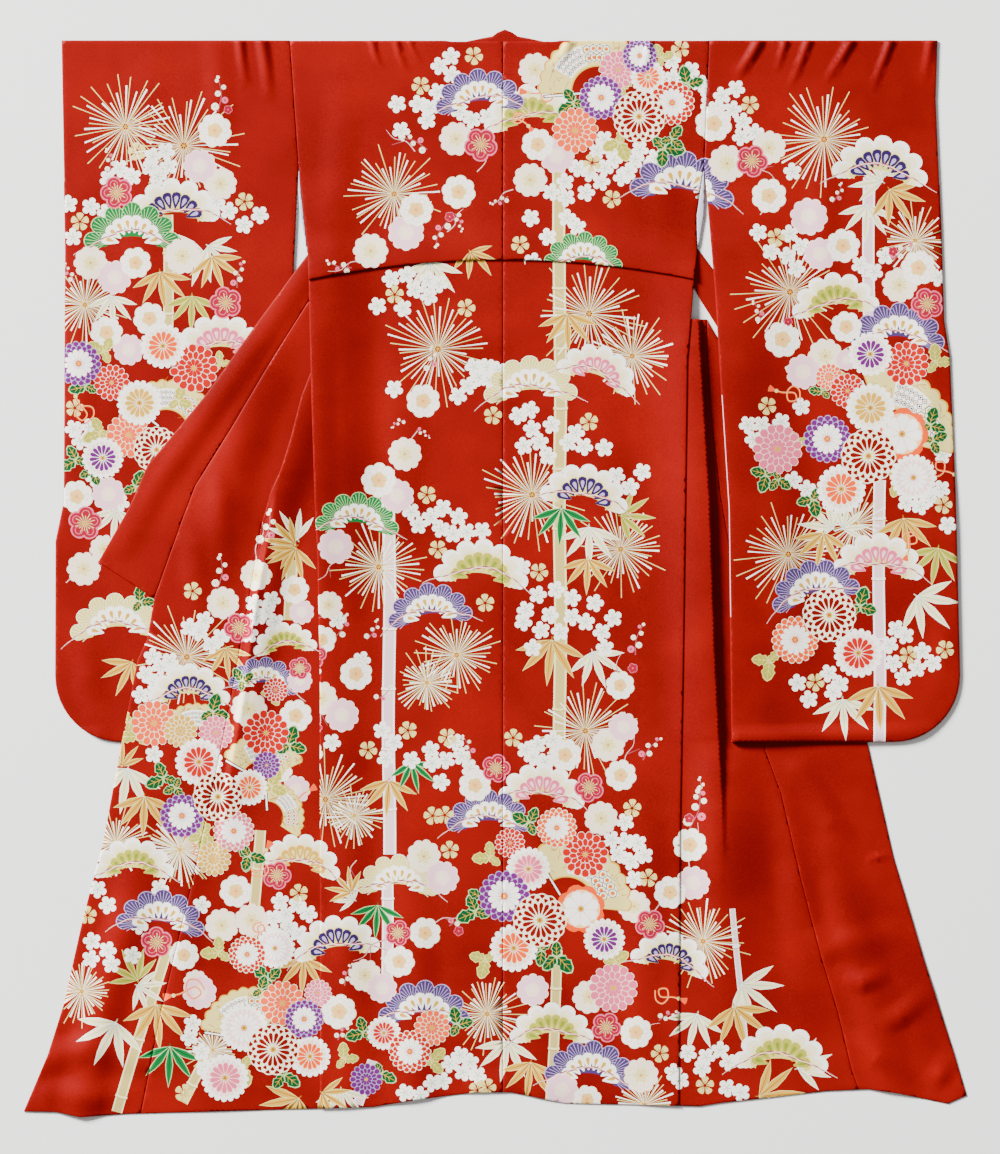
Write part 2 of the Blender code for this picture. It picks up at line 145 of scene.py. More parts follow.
COLLAR_OUTER = line(
    (-639, 823), (-591, 739), (-561, 670), (-529, 632), (-469, 559), (-397, 458),
    (-331, 368), (-310, 340), (-215, 208), (-75, 14), (-62, 2), (-34, -4), (-17, -7), (-9, -13),
    (NAPE_X, 4 - COLLAR_PEAK),
)
COLLAR_INNER = line(
    (-551, 881), (-507, 758), (-486, 703), (-429, 612), (-361, 497), (-308, 413),
    (-262, 330), (-150, 160), (-58, 46), (-34, 34), (NAPE_X, 30),
)
SLEEVE_INNER_LEFT = line((-336.8, 0), (-323, 197), (-331, 367), (-345, 700), (-352, SLEEVE_DROP))
SLEEVE_OUTER_LEFT = line((-697, 0), (-691, 330), (-693, 728), (-706, 790), (-707, SLEEVE_DROP))
SLEEVE_INNER_RIGHT = line((325.8, 0), (317.9, 197), (335, 397), (345, 567), (356, 741), (361, SLEEVE_DROP))
SLEEVE_OUTER_RIGHT = line(
    (686, 0), (683, 93), (692, 299), (696, 441), (705, 498), (714, 706), (721, 995), (721, SLEEVE_DROP),
)
FRONT_TOP_LEFT = line((-336.5, 0), (-322.7, 197), (-323.5, 235), (-321, 275), (-309.8, 335))
FRONT_TOP_RIGHT = line((325.5, 0), (317.6, 197), (319, 235), (317.5, 275), (309.6, 325))
LEFT_TOP_DOWNS = (0, 60, 130, 197, 235, 275, 335)
RIGHT_TOP_DOWNS = (0, 60, 130, 197, 235, 275, 322)
LINING_DOWNS = (206, 235, 275, 325)

# Heights of the layers, as shares between two places of the plan
LEFT_ACROSS = ((-280, 1), (-200, 0))
LEFT_DOWN = ((200, 0), (290, 1), (SLEEVE_DROP + 50, 1), (SLEEVE_DROP + 140, 0))
COVER_DOWN = ((450, 1), (510, 0))
COVER_ASIDE = ((195, 0), (255, 1))
ABOVE_COLLAR = ((75, 1), (155, 0))
TUCK_RISE = ((-75, 0), (-5, 1))
NECK_ASIDE = ((80, 1), (92, 0))
NECK_DIP = 1.5                  # how far below the shoulder line the neckline lies
RIPPLE = 0.22                   # height of the silk's faint waves


def ramp(pairs: Table, value: np.ndarray) -> np.ndarray:
    """Reads a table of shares with soft steps between its rows.

    Args:
        pairs: (place, share) rows in rising order of place.
        value: The places to read at.

    Returns:
        The share at each place, level past the table's ends.
    """
    places, shares = np.array(pairs, float).T
    share = np.interp(value, places, shares)
    return share * share * (3 - 2 * share)


def edge_x(edge: np.ndarray, down: np.ndarray) -> np.ndarray:
    """Where an edge line lies across the plan at a distance down."""
    return np.interp(down, edge[:, 1], edge[:, 0])


def hem_down(x: np.ndarray) -> np.ndarray:
    """How far down the hem lies at x."""
    return np.interp(x, HEM[:, 0], HEM[:, 1])


def tuck_line(x: np.ndarray) -> np.ndarray:
    """How far down the waist tuck lies at x."""
    return TUCK_DOWN + TUCK_SAG * (x / HALF_BACK) ** 2


def mirrored(edge: np.ndarray) -> np.ndarray:
    """The same line on the other side of the nape."""
    return np.column_stack((2 * NAPE_X - edge[:, 0], edge[:, 1]))


def moved(edge: np.ndarray, x: float, down: float = 0.0) -> np.ndarray:
    """The same line moved across and down the plan."""
    return edge + (x, down)


def stretch(edge: np.ndarray, top: float, foot: float) -> np.ndarray:
    """The part of a line between two distances down, cut at both."""
    inner = edge[(edge[:, 1] > top) & (edge[:, 1] < foot)]
    return np.vstack(([edge_x(edge, top), top], inner, [edge_x(edge, foot), foot]))


def hem_between(left: float, right: float) -> np.ndarray:
    """The hem from one x to another, left to right."""
    inner = HEM[(HEM[:, 0] > left) & (HEM[:, 0] < right)]
    return np.vstack(([left, hem_down(left)], inner, [right, hem_down(right)]))


def loop_of(*edges: np.ndarray) -> np.ndarray:
    """One closed outline from edges that follow each other round it."""
    return np.vstack(edges)


# Levels, counted in layers above the one on the floor

def on_floor(x: np.ndarray, down: np.ndarray) -> np.ndarray:
    """The level of what rests on the floor."""
    return np.zeros_like(x)


def left_level(x: np.ndarray, down: np.ndarray) -> np.ndarray:
    """Layers under the left front, which lies on the left sleeve and comes down below it."""
    return 2 * ramp(LEFT_ACROSS, x) * ramp(LEFT_DOWN, down)


def back_right_level(x: np.ndarray, down: np.ndarray) -> np.ndarray:
    """Layers under the right back."""
    return (1 + SLACK) * np.maximum(ramp(COVER_DOWN, down), ramp(COVER_ASIDE, x))


def back_left_level(x: np.ndarray, down: np.ndarray) -> np.ndarray:
    """Layers under the left back, which lies on the left front near its side."""
    return left_level(x, down) + back_right_level(-x, down)


def collar_level(x: np.ndarray, down: np.ndarray) -> np.ndarray:
    """Layers under the collar strip: those of the left front, and none on the right."""
    return np.where(x < NAPE_X, left_level(x, down), 0.0)


def sleeve_right_level(x: np.ndarray, down: np.ndarray) -> np.ndarray:
    """Layers under the right sleeve: one where it lies on the right front, none above its collar.

    Args:
        x: Places across the plan.
        down: Places down the plan.

    Returns:
        The layers at each place.
    """
    foot, top = mirrored(COLLAR_OUTER[[0, 7]])
    across, along = foot - top
    above = ((x - top[0]) * along - (down - top[1]) * across) / math.hypot(across, along)
    return ramp(ABOVE_COLLAR, above)


# Folds and creases

@dataclass(frozen=True)
class Fold:
    """A broad fold that runs down the cloth.

    Attributes:
        crest: (down, x, share of the height) rows from its top to its foot.
        height: How far it stands up, in mm.
        left: Its reach to the left of the crest, in mm.
        right: Its reach to the right of the crest, in mm.
    """

    crest: Table
    height: float
    left: float
    right: float

    def rise(self, x: np.ndarray, down: np.ndarray) -> np.ndarray:
        """Height that the fold adds at places of the plan.

        Args:
            x: Places across the plan.
            down: Places down the plan.

        Returns:
            The height at each place.
        """
        places, crest_x, shares = np.array(self.crest, float).T
        share = np.interp(down, places, shares)
        aside = x - np.interp(down, places, crest_x)
        far = np.clip(np.abs(aside) / np.where(aside < 0, self.left, self.right), 0, 1)
        return self.height * share * (0.5 + 0.5 * np.cos(np.pi * far))


@dataclass(frozen=True)
class Crease:
    """A soft ridge along any line of the plan.

    Attributes:
        reach: How far it spreads to each side, in mm.
        spine: (x, down, height) rows along it.
    """

    reach: float
    spine: Table

    def rise(self, x: np.ndarray, down: np.ndarray) -> np.ndarray:
        """Height that the crease adds at places of the plan.

        Args:
            x: Places across the plan.
            down: Places down the plan.

        Returns:
            The height at each place.
        """
        best = np.zeros_like(x)
        for (ax, ad, ah), (bx, bd, bh) in zip(self.spine, self.spine[1:]):
            run = np.array((bx - ax, bd - ad), float)
            share = np.clip(((x - ax) * run[0] + (down - ad) * run[1]) / run.dot(run), 0, 1)
            far = np.hypot(x - ax - share * run[0], down - ad - share * run[1]) / self.reach
            profile = 0.5 + 0.5 * np.cos(np.pi * np.clip(far, 0, 1))
            best = np.maximum(best, (ah + (bh - ah) * share) * profile)
        return best


LEFT_RIDGE = Fold(((690, -352, 0), (773, -366, 0.8), (883, -388, 1), (1041, -408, 0.9), (1152, -428, 0.55),
                   (1330, -452, 0)), 9.0, 12.0, 56.0)
LEFT_PLEAT = Fold(((480, -290, 0.5), (500, -294, 0.6), (562, -318, 0.9), (628, -335, 1), (676, -350, 1),
                   (712, -366, 0.8), (762, -381, 0.3), (800, -388, 0)), 10.5, 60.0, 70.0)
RIGHT_RIDGE = Fold(((345, 303, 0), (480, 310, 0.9), (725, 325, 1), (962, 333, 1), (1101, 340, 0.9),
                    (1200, 345, 0.3), (1300, 347, 0)), 12.0, 95.0, 7.0)
LEFT_EDGE_ROLL = Fold(((400, -306, 0), (500, -302, 1), (820, -293, 1), (1050, -290, 0)), 3.0, 30.0, 42.0)
RIGHT_FRONT_WAVE = Fold(((1150, 498, 0), (1300, 520, 0.8), (1480, 570, 1), (1690, 622, 0.6)),
                        5.0, 45.0, 55.0)
RIGHT_FALL = Fold(((1106, 341, 0), (1150, 342, 0.6), (1215, 345, 1), (1294, 347, 1), (1420, 350, 0.6),
                   (1580, 350, 0)), 10.0, 60.0, 92.0)
LEFT_HEM_WAVE = Fold(((1290, -560, 0), (1430, -606, 0.8), (1560, -640, 1), (1700, -668, 0.7)),
                     6.0, 48.0, 48.0)
BACK_WAVE = Fold(((1180, -150, 0), (1350, -146, 0.8), (1520, -138, 1), (1690, -133, 0.8)), 4.0, 60.0, 50.0)

# Creases of each piece: the puckers along its shoulder fold, then the slack of the rest
COLLAR_CREASES = (
    Crease(30, ((-230, 250, 0), (-300, 352, 2.4), (-390, 480, 3.0), (-470, 592, 3.0), (-545, 700, 2.4),
                (-600, 800, 1.0))),
)
SLEEVE_CREASES_LEFT = (
    Crease(11, ((-415, 2, 4.0), (-412, 30, 2.6), (-404, 78, 0))),
    Crease(14, ((-380, 2, 5.0), (-374, 40, 3.4), (-368, 96, 0))),
    Crease(30, ((-455, 4, 1.2), (-448, 90, 2.2), (-436, 210, 0))),
    Crease(46, ((-560, 10, 0.6), (-566, 190, 2.0), (-575, 420, 0.3))),
    Crease(40, ((-664, 250, 0.8), (-668, 470, 2.4), (-674, 760, 0.4))),
    Crease(34, ((-672, 900, 0), (-655, 1000, 2.4), (-642, 1080, 0.8))),
    Crease(20, ((-704, 1090, 0), (-676, 1098, 2.4), (-642, 1100, 2.2), (-614, 1102, 0))),
)
SLEEVE_CREASES_RIGHT = (
    Crease(13, ((404, 2, 5.0), (392, 24, 4.0), (366, 62, 0))),
    Crease(10, ((446, 2, 4.0), (440, 22, 2.0), (430, 52, 0))),
    Crease(11, ((482, 2, 4.0), (470, 34, 2.6), (452, 78, 0))),
    Crease(12, ((549, 2, 4.6), (534, 28, 3.2), (506, 70, 0))),
    Crease(11, ((612, 2, 4.2), (600, 34, 2.8), (580, 84, 0))),
    Crease(12, ((676, 2, 3.6), (672, 26, 2.2), (664, 70, 0))),
    Crease(150, ((334, 230, 0), (340, 380, 8.0), (346, 520, 13.0), (352, 740, 14.0), (358, 940, 12.0),
                 (361, SLEEVE_DROP, 5.0))),
    Crease(22, ((374, 1100, 3.0), (470, 1098, 4.6), (600, 1096, 3.4), (700, 1090, 0))),
    Crease(38, ((520, 90, 0.2), (505, 260, 2.2), (500, 470, 0.4))),
    Crease(34, ((662, 300, 0.4), (670, 520, 2.2), (676, 820, 0.2))),
    Crease(48, ((440, 620, 0.2), (444, 820, 2.4), (460, 1010, 0.5))),
    Crease(26, ((690, 880, 0.2), (696, 960, 1.6), (690, 1040, 0))),
)
BACK_CREASES = (
    Crease(9, ((-206, 2, 3.4), (-202, 20, 2.0), (-192, 46, 0))),
    Crease(9, ((-168, 2, 3.6), (-163, 22, 2.0), (-152, 50, 0))),
    Crease(8, ((-146, 2, 3.0), (-140, 16, 1.4), (-130, 34, 0))),
    Crease(12, ((104, 3, 3.2), (96, 22, 2.2), (70, 50, 0))),
    Crease(10, ((232, 2, 3.2), (226, 28, 1.6), (216, 62, 0))),
    Crease(40, ((-250, 60, 0.3), (-256, 180, 2.0), (-262, 320, 0.3))),
    Crease(36, ((246, 70, 0.3), (252, 190, 1.8), (256, 320, 0.3))),
    Crease(115, ((-306, 310, 0), (-303, 400, 6.0), (-300, 560, 9.0), (-295, 740, 8.0), (-289, 880, 4.0),
                 (-286, 1010, 0))),
    Crease(48, ((-170, 420, 0.3), (-156, 640, 2.0), (-166, 900, 0.2))),
    Crease(50, ((150, 470, 0.2), (162, 760, 2.0), (150, 1040, 0.2))),
    Crease(44, ((40, 1050, 0), (52, 1290, 2.2), (60, 1500, 1.2), (66, 1660, 1.6))),
    Crease(42, ((215, 1120, 0), (222, 1340, 2.8), (214, 1600, 2.0))),
    Crease(46, ((-240, 1200, 0), (-244, 1400, 2.6), (-240, 1640, 1.6))),
    Crease(30, ((-40, 1652, 2.4), (40, 1640, 1.0), (110, 1652, 2.2), (190, 1668, 0.4))),
)
LEFT_FRONT_CREASES = (
    Crease(58, ((-350, 440, 1.0), (-385, 545, 5.0), (-425, 660, 6.0), (-452, 770, 4.0), (-470, 880, 0))),
    Crease(16, ((-376, 790, 2.0), (-396, 900, 3.0), (-414, 1040, 1.8), (-430, 1150, 0))),
    Crease(30, ((-520, 700, 0.2), (-492, 800, 2.0), (-478, 960, 0.4))),
    Crease(26, ((-462, 640, 0.2), (-446, 720, 1.8), (-440, 840, 0.2))),
    Crease(44, ((-560, 1180, 0), (-590, 1330, 2.4), (-612, 1480, 0.2))),
    Crease(36, ((-730, 1612, 3.4), (-655, 1590, 5.0), (-580, 1612, 2.4), (-520, 1600, 0))),
    Crease(32, ((-716, 1664, 2.4), (-640, 1668, 3.4), (-560, 1662, 0))),
    Crease(40, ((-490, 1240, 0), (-505, 1400, 2.8), (-520, 1600, 1.0))),
    Crease(32, ((-350, 1300, 0), (-356, 1460, 2.4), (-366, 1640, 1.4))),
)
RIGHT_FRONT_CREASES = (
    Crease(30, ((470, 1150, 1.5), (520, 1230, 3.0), (590, 1262, 0))),
    Crease(11, ((572, 1294, 0), (592, 1289, 2.0), (612, 1287, 0.3))),
    Crease(34, ((486, 1400, 0), (520, 1430, 3.8), (588, 1420, 1.6), (640, 1400, 0))),
    Crease(24, ((536, 1478, 0.6), (568, 1486, 4.4), (612, 1474, 0))),
    Crease(26, ((590, 1556, 0), (628, 1540, 4.0), (668, 1506, 1.0))),
    Crease(28, ((548, 1560, 0.6), (592, 1604, 4.6), (652, 1640, 0.6))),
    Crease(24, ((668, 1652, 0), (690, 1634, 3.0), (708, 1600, 0.4))),
    Crease(46, ((452, 1170, 1.0), (466, 1330, 4.0), (480, 1460, 2.0), (470, 1620, 0.4))),
)


def ripple(x: np.ndarray, down: np.ndarray) -> np.ndarray:
    """The faint unevenness, up to 1.3 mm, that soft silk keeps all over.

    Args:
        x: Places across the plan.
        down: Places down the plan.

    Returns:
        The height at each place, never below zero.
    """
    return RIPPLE * (
        3.0 + np.sin(x / 41 + down / 133) + np.sin(down / 57 - x / 96 + 1.3)
        + 0.6 * np.sin(x / 23 - down / 71 + 0.6) + 0.4 * np.sin(down / 29 + x / 37)
    )


# Dyes

class Dye(Enum):
    """Colours of the cloth and of what is dyed or laid on it, as sRGB hex values."""

    GROUND = "#860A05"
    WHITE = "#FDF9EC"
    CREAM = "#F6E9C8"
    PALE_STRAW = "#EFE3A6"
    STRAW = "#D6C56A"
    OLIVE = "#A6A23A"
    MOSS = "#7C8A24"
    LEAF = "#0C6A30"
    DEEP_LEAF = "#0A4A26"
    PALE_LEAF = "#A9CB88"
    VIOLET = "#46305F"
    PALE_VIOLET = "#A999BE"
    DEEP_VIOLET = "#2C1A4C"
    PURPLE = "#641C68"
    LILAC = "#E2BFC6"
    BLUSH = "#F8D3C6"
    PALE_PINK = "#F0BCC6"
    PINK = "#D8607A"
    ROSE = "#98162C"
    PEACH = "#FBBE7C"
    ORANGE = "#E44E10"
    SALMON = "#E6562A"
    SCARLET = "#B41208"
    GOLD = "#DDA93C"
    PALE_GOLD = "#F2DC84"
    OCHRE = "#A8691E"
    KHAKI = "#C2AE66"
    MAUVE = "#96484E"
    INK = "#1E1618"
    MIST = "#AEBDA4"
    LINING = "#B9B3BF"


Shape = tuple  # (Dye, outline as an array of points)


# Outlines drawn about (0, 0) in millimetres, with up as their second axis

def turned(points: np.ndarray, degrees: float) -> np.ndarray:
    """Points turned clockwise about (0, 0)."""
    c, s = math.cos(math.radians(degrees)), math.sin(math.radians(degrees))
    return points @ np.array(((c, -s), (s, c)))


def ring(radius: float, count: int, lobes: int = 0, depth: float = 0.0, turn: float = 0.0) -> np.ndarray:
    """A circle, or a scalloped one with round lobes.

    Args:
        radius: Its largest radius.
        count: How many points it has.
        lobes: How many lobes, or 0 for a plain circle.
        depth: How deep the notches are, as a share of the radius.
        turn: Degrees clockwise.

    Returns:
        The points round it.
    """
    angle = np.linspace(0, 2 * np.pi, count, endpoint=False)
    reach = radius * (1 - depth * (1 - np.abs(np.cos(lobes * angle / 2)) ** 0.55)) if lobes else radius
    return turned(np.column_stack((reach * np.sin(angle), reach * np.cos(angle))), turn)


def petal(start: float, end: float, width: float, turn: float = 0.0) -> np.ndarray:
    """A round-tipped petal that points away from (0, 0), from start to end.

    Args:
        start: Where it begins.
        end: Where its tip is.
        width: Its width.
        turn: Degrees clockwise.

    Returns:
        Its points.
    """
    run, half = end - start, width / 2
    side = ((0.12, 0.0), (0.7, 0.42), (1.0, 0.74), (0.72, 0.93))
    right = [(half * w, start + run * at) for w, at in side]
    left = [(-w, at) for w, at in reversed(right)]
    return turned(np.array([*right, (0, end), *left]), turn)


def blade(length: float, width: float, turn: float, start: float, lean: float) -> np.ndarray:
    """A pointed leaf.

    Args:
        length: Its length.
        width: Its width.
        turn: Degrees clockwise.
        start: Where it begins.
        lean: Bend of its tip to the right, as a share of its length.

    Returns:
        Its points.
    """
    side = ((0.0, 0.10), (0.62, 0.22), (1.0, 0.45), (0.72, 0.72))
    right = [(width / 2 * w + lean * length * at * at, start + length * at) for w, at in side[1:]]
    left = [(-width / 2 * w + lean * length * at * at, start + length * at) for w, at in reversed(side[1:])]
    tip = (lean * length, start + length)
    return turned(np.array([(0, start), *right, tip, *left]), turn)


def band(spine: np.ndarray, widths: Sequence[float]) -> np.ndarray:
    """A ribbon along a line, with its width given from one end to the other.

    Args:
        spine: The line.
        widths: Its width at even steps along the line.

    Returns:
        Its points.
    """
    along = np.gradient(spine, axis=0)
    along /= np.linalg.norm(along, axis=1)[:, None] + 1e-9
    half = np.interp(np.linspace(0, 1, len(spine)), np.linspace(0, 1, len(widths)), widths) / 2
    aside = np.column_stack((along[:, 1], -along[:, 0])) * half[:, None]
    return np.vstack((spine + aside, (spine - aside)[::-1]))


def ray(start: float, end: float, inner: float, outer: float, turn: float = 0.0) -> np.ndarray:
    """A straight tapered line that points away from (0, 0)."""
    right = ((inner / 2, start), (outer / 2, end))
    return turned(np.array((*right, (-outer / 2, end), (-inner / 2, start))), turn)


def around(dye: Dye, outline: np.ndarray, count: int, turn: float = 0.0) -> list[Shape]:
    """One outline set count times all round (0, 0), clockwise from turn."""
    step = 360 / count
    return [(dye, turned(outline, turn + step * k)) for k in range(count)]


def curve(*points: tuple, count: int = 16) -> np.ndarray:
    """A smooth line through a few points.

    Args:
        *points: What it passes through.
        count: About how many spots it has.

    Returns:
        Its spots.
    """
    points = np.array([points[0], *points, points[-1]], float)
    out = []
    for a, b, c, d in zip(points, points[1:], points[2:], points[3:]):
        for t in np.linspace(0, 1, max(count // (len(points) - 3), 3), endpoint=False):
            out.append(0.5 * (2 * b + (c - a) * t + (2 * a - 5 * b + 4 * c - d) * t ** 2
                              + (3 * b - a - 3 * c + d) * t ** 3))
    return np.array([*out, points[-1]])


# Motifs of the pattern

SMALLEST_FULL_PLUM = 12.0       # below this radius a rose plum has no lines or stamens


class Motif:
    """One dyed figure. Its shapes are listed from the lowest to the top one."""

    def shapes(self, size: float, seed: int) -> list[Shape]:
        """The figure about (0, 0), with up away from the hem.

        Args:
            size: Its radius, width or length in mm.
            seed: A number that varies what isn't regular.

        Returns:
            Pairs of a dye and an outline.
        """
        raise NotImplementedError


@dataclass(frozen=True)
class SmallBlossom(Motif):
    """A five-petalled blossom of the smallest kind."""

    dye: Dye
    heart: Dye
    parted: bool = False

    def shapes(self, size: float, seed: int) -> list[Shape]:
        """A notched flower or five parted petals, with a small star at the heart.

        Args:
            size: The radius in mm.
            seed: Turns it.

        Returns:
            The shapes, the lowest first.
        """
        turn = seed * 29 % 72
        if self.parted:
            return [*around(self.dye, petal(0.16 * size, size, 0.78 * size), 5, turn),
                    *around(self.heart, ray(0.14 * size, 0.5 * size, 0.9, 1.4), 5, turn)]
        return [(self.dye, ring(size, 30, 5, 0.42, turn)),
                *around(self.heart, ray(0, 0.5 * size, 1.0, 1.5), 5, turn)]


@dataclass(frozen=True)
class Plum(Motif):
    """An open plum blossom with a scalloped rim."""

    rim: Dye
    face: Dye
    heart: Dye
    lines: Dye
    stamens: Dye
    lobes: int = 9
    depth: float = 0.17

    def shapes(self, size: float, seed: int) -> list[Shape]:
        """Rim, paler face, blushing petals, warm heart and stamens.

        Args:
            size: The radius in mm.
            seed: Turns it.

        Returns:
            The shapes, the lowest first.
        """
        turn = seed * 17 % 40
        out = [(self.rim, ring(size, 63, self.lobes, self.depth, turn))]
        out.append((self.face, ring(0.93 * size, 63, self.lobes, self.depth, turn)))
        for k in range(5):
            spot = turned(np.array((0, 0.6 * size)), turn + 72 * k)
            out.append((self.lines, turned(ring(0.2 * size, 10) * (1.2, 0.8), turn + 72 * k) + spot))
            out.append((self.face, turned(ring(0.15 * size, 9) * (1.2, 0.8), turn + 72 * k) + spot))
            out.append((self.lines, ray(0.5 * size, 0.94 * size, 0.4, 1.0, turn + 36 + 72 * k)))
        glow = Dye.PALE_GOLD if self.heart is Dye.PEACH else self.heart
        out.append((glow, ring(0.46 * size, 20, 5, 0.14, turn)))
        out.append((self.heart, ring(0.36 * size, 20, 5, 0.14, turn)))
        out += [(self.stamens, ray(0.05 * size, (0.3 + 0.12 * (k % 2)) * size, 0.4, 1.1, turn + 30 * k))
                for k in range(12)]
        out.append((self.stamens, ring(0.08 * size, 6)))
        return out


@dataclass(frozen=True)
class RosePlum(Motif):
    """A deep rose plum blossom of five round petals, outlined."""

    dye: Dye = Dye.ROSE
    edge: Dye = Dye.PINK

    def shapes(self, size: float, seed: int) -> list[Shape]:
        """Five petals, each with a paler outline, and long gold stamens.

        Args:
            size: The radius in mm.
            seed: Turns it.

        Returns:
            The shapes, the lowest first.
        """
        turn = seed * 23 % 72
        out = [(self.edge, ring(size, 40, 5, 0.2, turn))]
        out += around(self.dye, ring(0.40 * size, 12) + (0, 0.53 * size), 5, turn)
        if size < SMALLEST_FULL_PLUM:
            return out
        out.append((self.dye, ring(0.36 * size, 10)))
        out += around(Dye.PINK, ring(0.25 * size, 9) + (0, 0.54 * size), 5, turn)
        out += around(self.dye, ring(0.21 * size, 9) + (0, 0.53 * size), 5, turn)
        out += [(Dye.PALE_GOLD, ray(0.06 * size, (0.44 + 0.16 * (k % 2)) * size, 0.6, 1.4, turn + 22.5 * k))
                for k in range(16)]
        out.append((Dye.GOLD, ring(0.11 * size, 7)))
        return out


@dataclass(frozen=True)
class Chrysanthemum(Motif):
    """A full chrysanthemum of rings of petals.

    Attributes:
        back: Dye of the outer scallops.
        blush: Dye that tints the outer petals near the heart.
        inner: Dye of the ring of long inner petals.
        edge: Dye of the lines between petals.
        petals: How many petals the outer ring has.
        inner_reach: Reach of the inner petals, as a share of the radius.
        inner_petals: How many of those there are.
    """

    back: Dye
    blush: Dye
    inner: Dye
    edge: Dye
    petals: int = 20
    inner_reach: float = 0.64
    inner_petals: int = 14

    def shapes(self, size: float, seed: int) -> list[Shape]:
        """Scalloped back, tinted ring, inner petals with their lines, and a gold heart.

        Args:
            size: The radius in mm.
            seed: Turns it.

        Returns:
            The shapes, the lowest first.
        """
        turn, reach = seed * 31 % 30, self.inner_reach * size
        out = [(self.back, ring(size, self.petals * 4, self.petals, 0.12, turn))]
        out.append((self.blush, ring(0.78 * size, 24)))
        out += around(self.back, ray(0.5 * size, 0.8 * size, 0.6, 0.09 * size), self.petals, turn)
        out.append((self.edge, ring(reach + 1.2, self.inner_petals * 4, self.inner_petals, 0.16, turn)))
        width = 2 * math.pi * 0.78 * reach / self.inner_petals - 0.9
        out += around(self.inner, petal(0.14 * size, reach, width), self.inner_petals, turn)
        out.append((Dye.GOLD, ring(0.13 * size, 9)))
        out.append((Dye.OCHRE, ring(0.06 * size, 6)))
        return out


@dataclass(frozen=True)
class FullChrysanthemum(Motif):
    """A chrysanthemum of one colour, with three rings of outlined petals."""

    dye: Dye
    edge: Dye

    def shapes(self, size: float, seed: int) -> list[Shape]:
        """Each ring is a scalloped outline with its petals a little smaller on it.

        Args:
            size: The radius in mm.
            seed: Turns it.

        Returns:
            The shapes, the lowest first.
        """
        turn, out = seed * 37 % 24, []
        for reach, root, count, shift in ((1.0, 0.4, 15, 0.0), (0.7, 0.2, 15, 0.5), (0.4, 0.06, 10, 0.25)):
            spin = turn + shift * (360 / count)
            out.append((self.edge, ring(reach * size, count * 4, count, 0.14, spin)))
            width = 2 * math.pi * 0.8 * reach * size / count - 0.9
            out += around(self.dye, petal(root * size, reach * size - 0.9, width), count, spin)
        out.append((Dye.GOLD, ring(0.11 * size, 8)))
        return out


@dataclass(frozen=True)
class RingedChrysanthemum(Motif):
    """White inner petals on a coloured outer ring of small scales."""

    outer: Dye
    edge: Dye

    def shapes(self, size: float, seed: int) -> list[Shape]:
        """Two rows of outlined scales, then the white petals and a warm heart.

        Args:
            size: The radius in mm.
            seed: Turns it.

        Returns:
            The shapes, the lowest first.
        """
        turn, count, out = seed * 19 % 24, 18, []
        for reach, root, shift in ((1.0, 0.62, 0.0), (0.82, 0.5, 0.5)):
            spin = turn + shift * 360 / count
            out.append((self.edge, ring(reach * size, count * 4, count, 0.12, spin)))
            width = 2 * math.pi * 0.8 * reach * size / count - 1.3
            out += around(self.outer, petal(root * size, reach * size - 1.3, width), count, spin)
        out.append((self.outer, ring(0.66 * size, 20)))
        out += around(Dye.WHITE, petal(0.12 * size, 0.64 * size, 0.235 * size), 13, turn)
        return out + [(Dye.ORANGE, ring(0.14 * size, 8)), (Dye.GOLD, ring(0.08 * size, 6))]


@dataclass(frozen=True)
class Lace(Motif):
    """An openwork chrysanthemum of cream lines, with the ground showing between."""

    line: Dye = Dye.CREAM
    ground: Dye = Dye.GROUND

    def shapes(self, size: float, seed: int) -> list[Shape]:
        """Cream disc with three rows of holes and a gold star.

        Args:
            size: The radius in mm.
            seed: Turns it.

        Returns:
            The shapes, the lowest first.
        """
        turn, count = seed * 13 % 22, 16
        step = 360 / count
        out = [(self.line, ring(size, count * 5, count, 0.08, turn))]
        for k in range(count):
            out.append((self.ground, petal(0.80 * size, 0.955 * size, 0.21 * size, turn + step * k)))
            out.append((self.ground, petal(0.66 * size, 0.82 * size, 0.17 * size, turn + step * (k + 0.5))))
            out.append((self.ground, petal(0.20 * size, 0.66 * size, 0.165 * size, turn + step * k)))
        out += around(Dye.PALE_GOLD, ray(0.04 * size, 0.24 * size, 0.8, 1.6), 8, turn)
        return out + [(Dye.GOLD, ring(0.12 * size, 8)), (Dye.OCHRE, ring(0.06 * size, 6))]


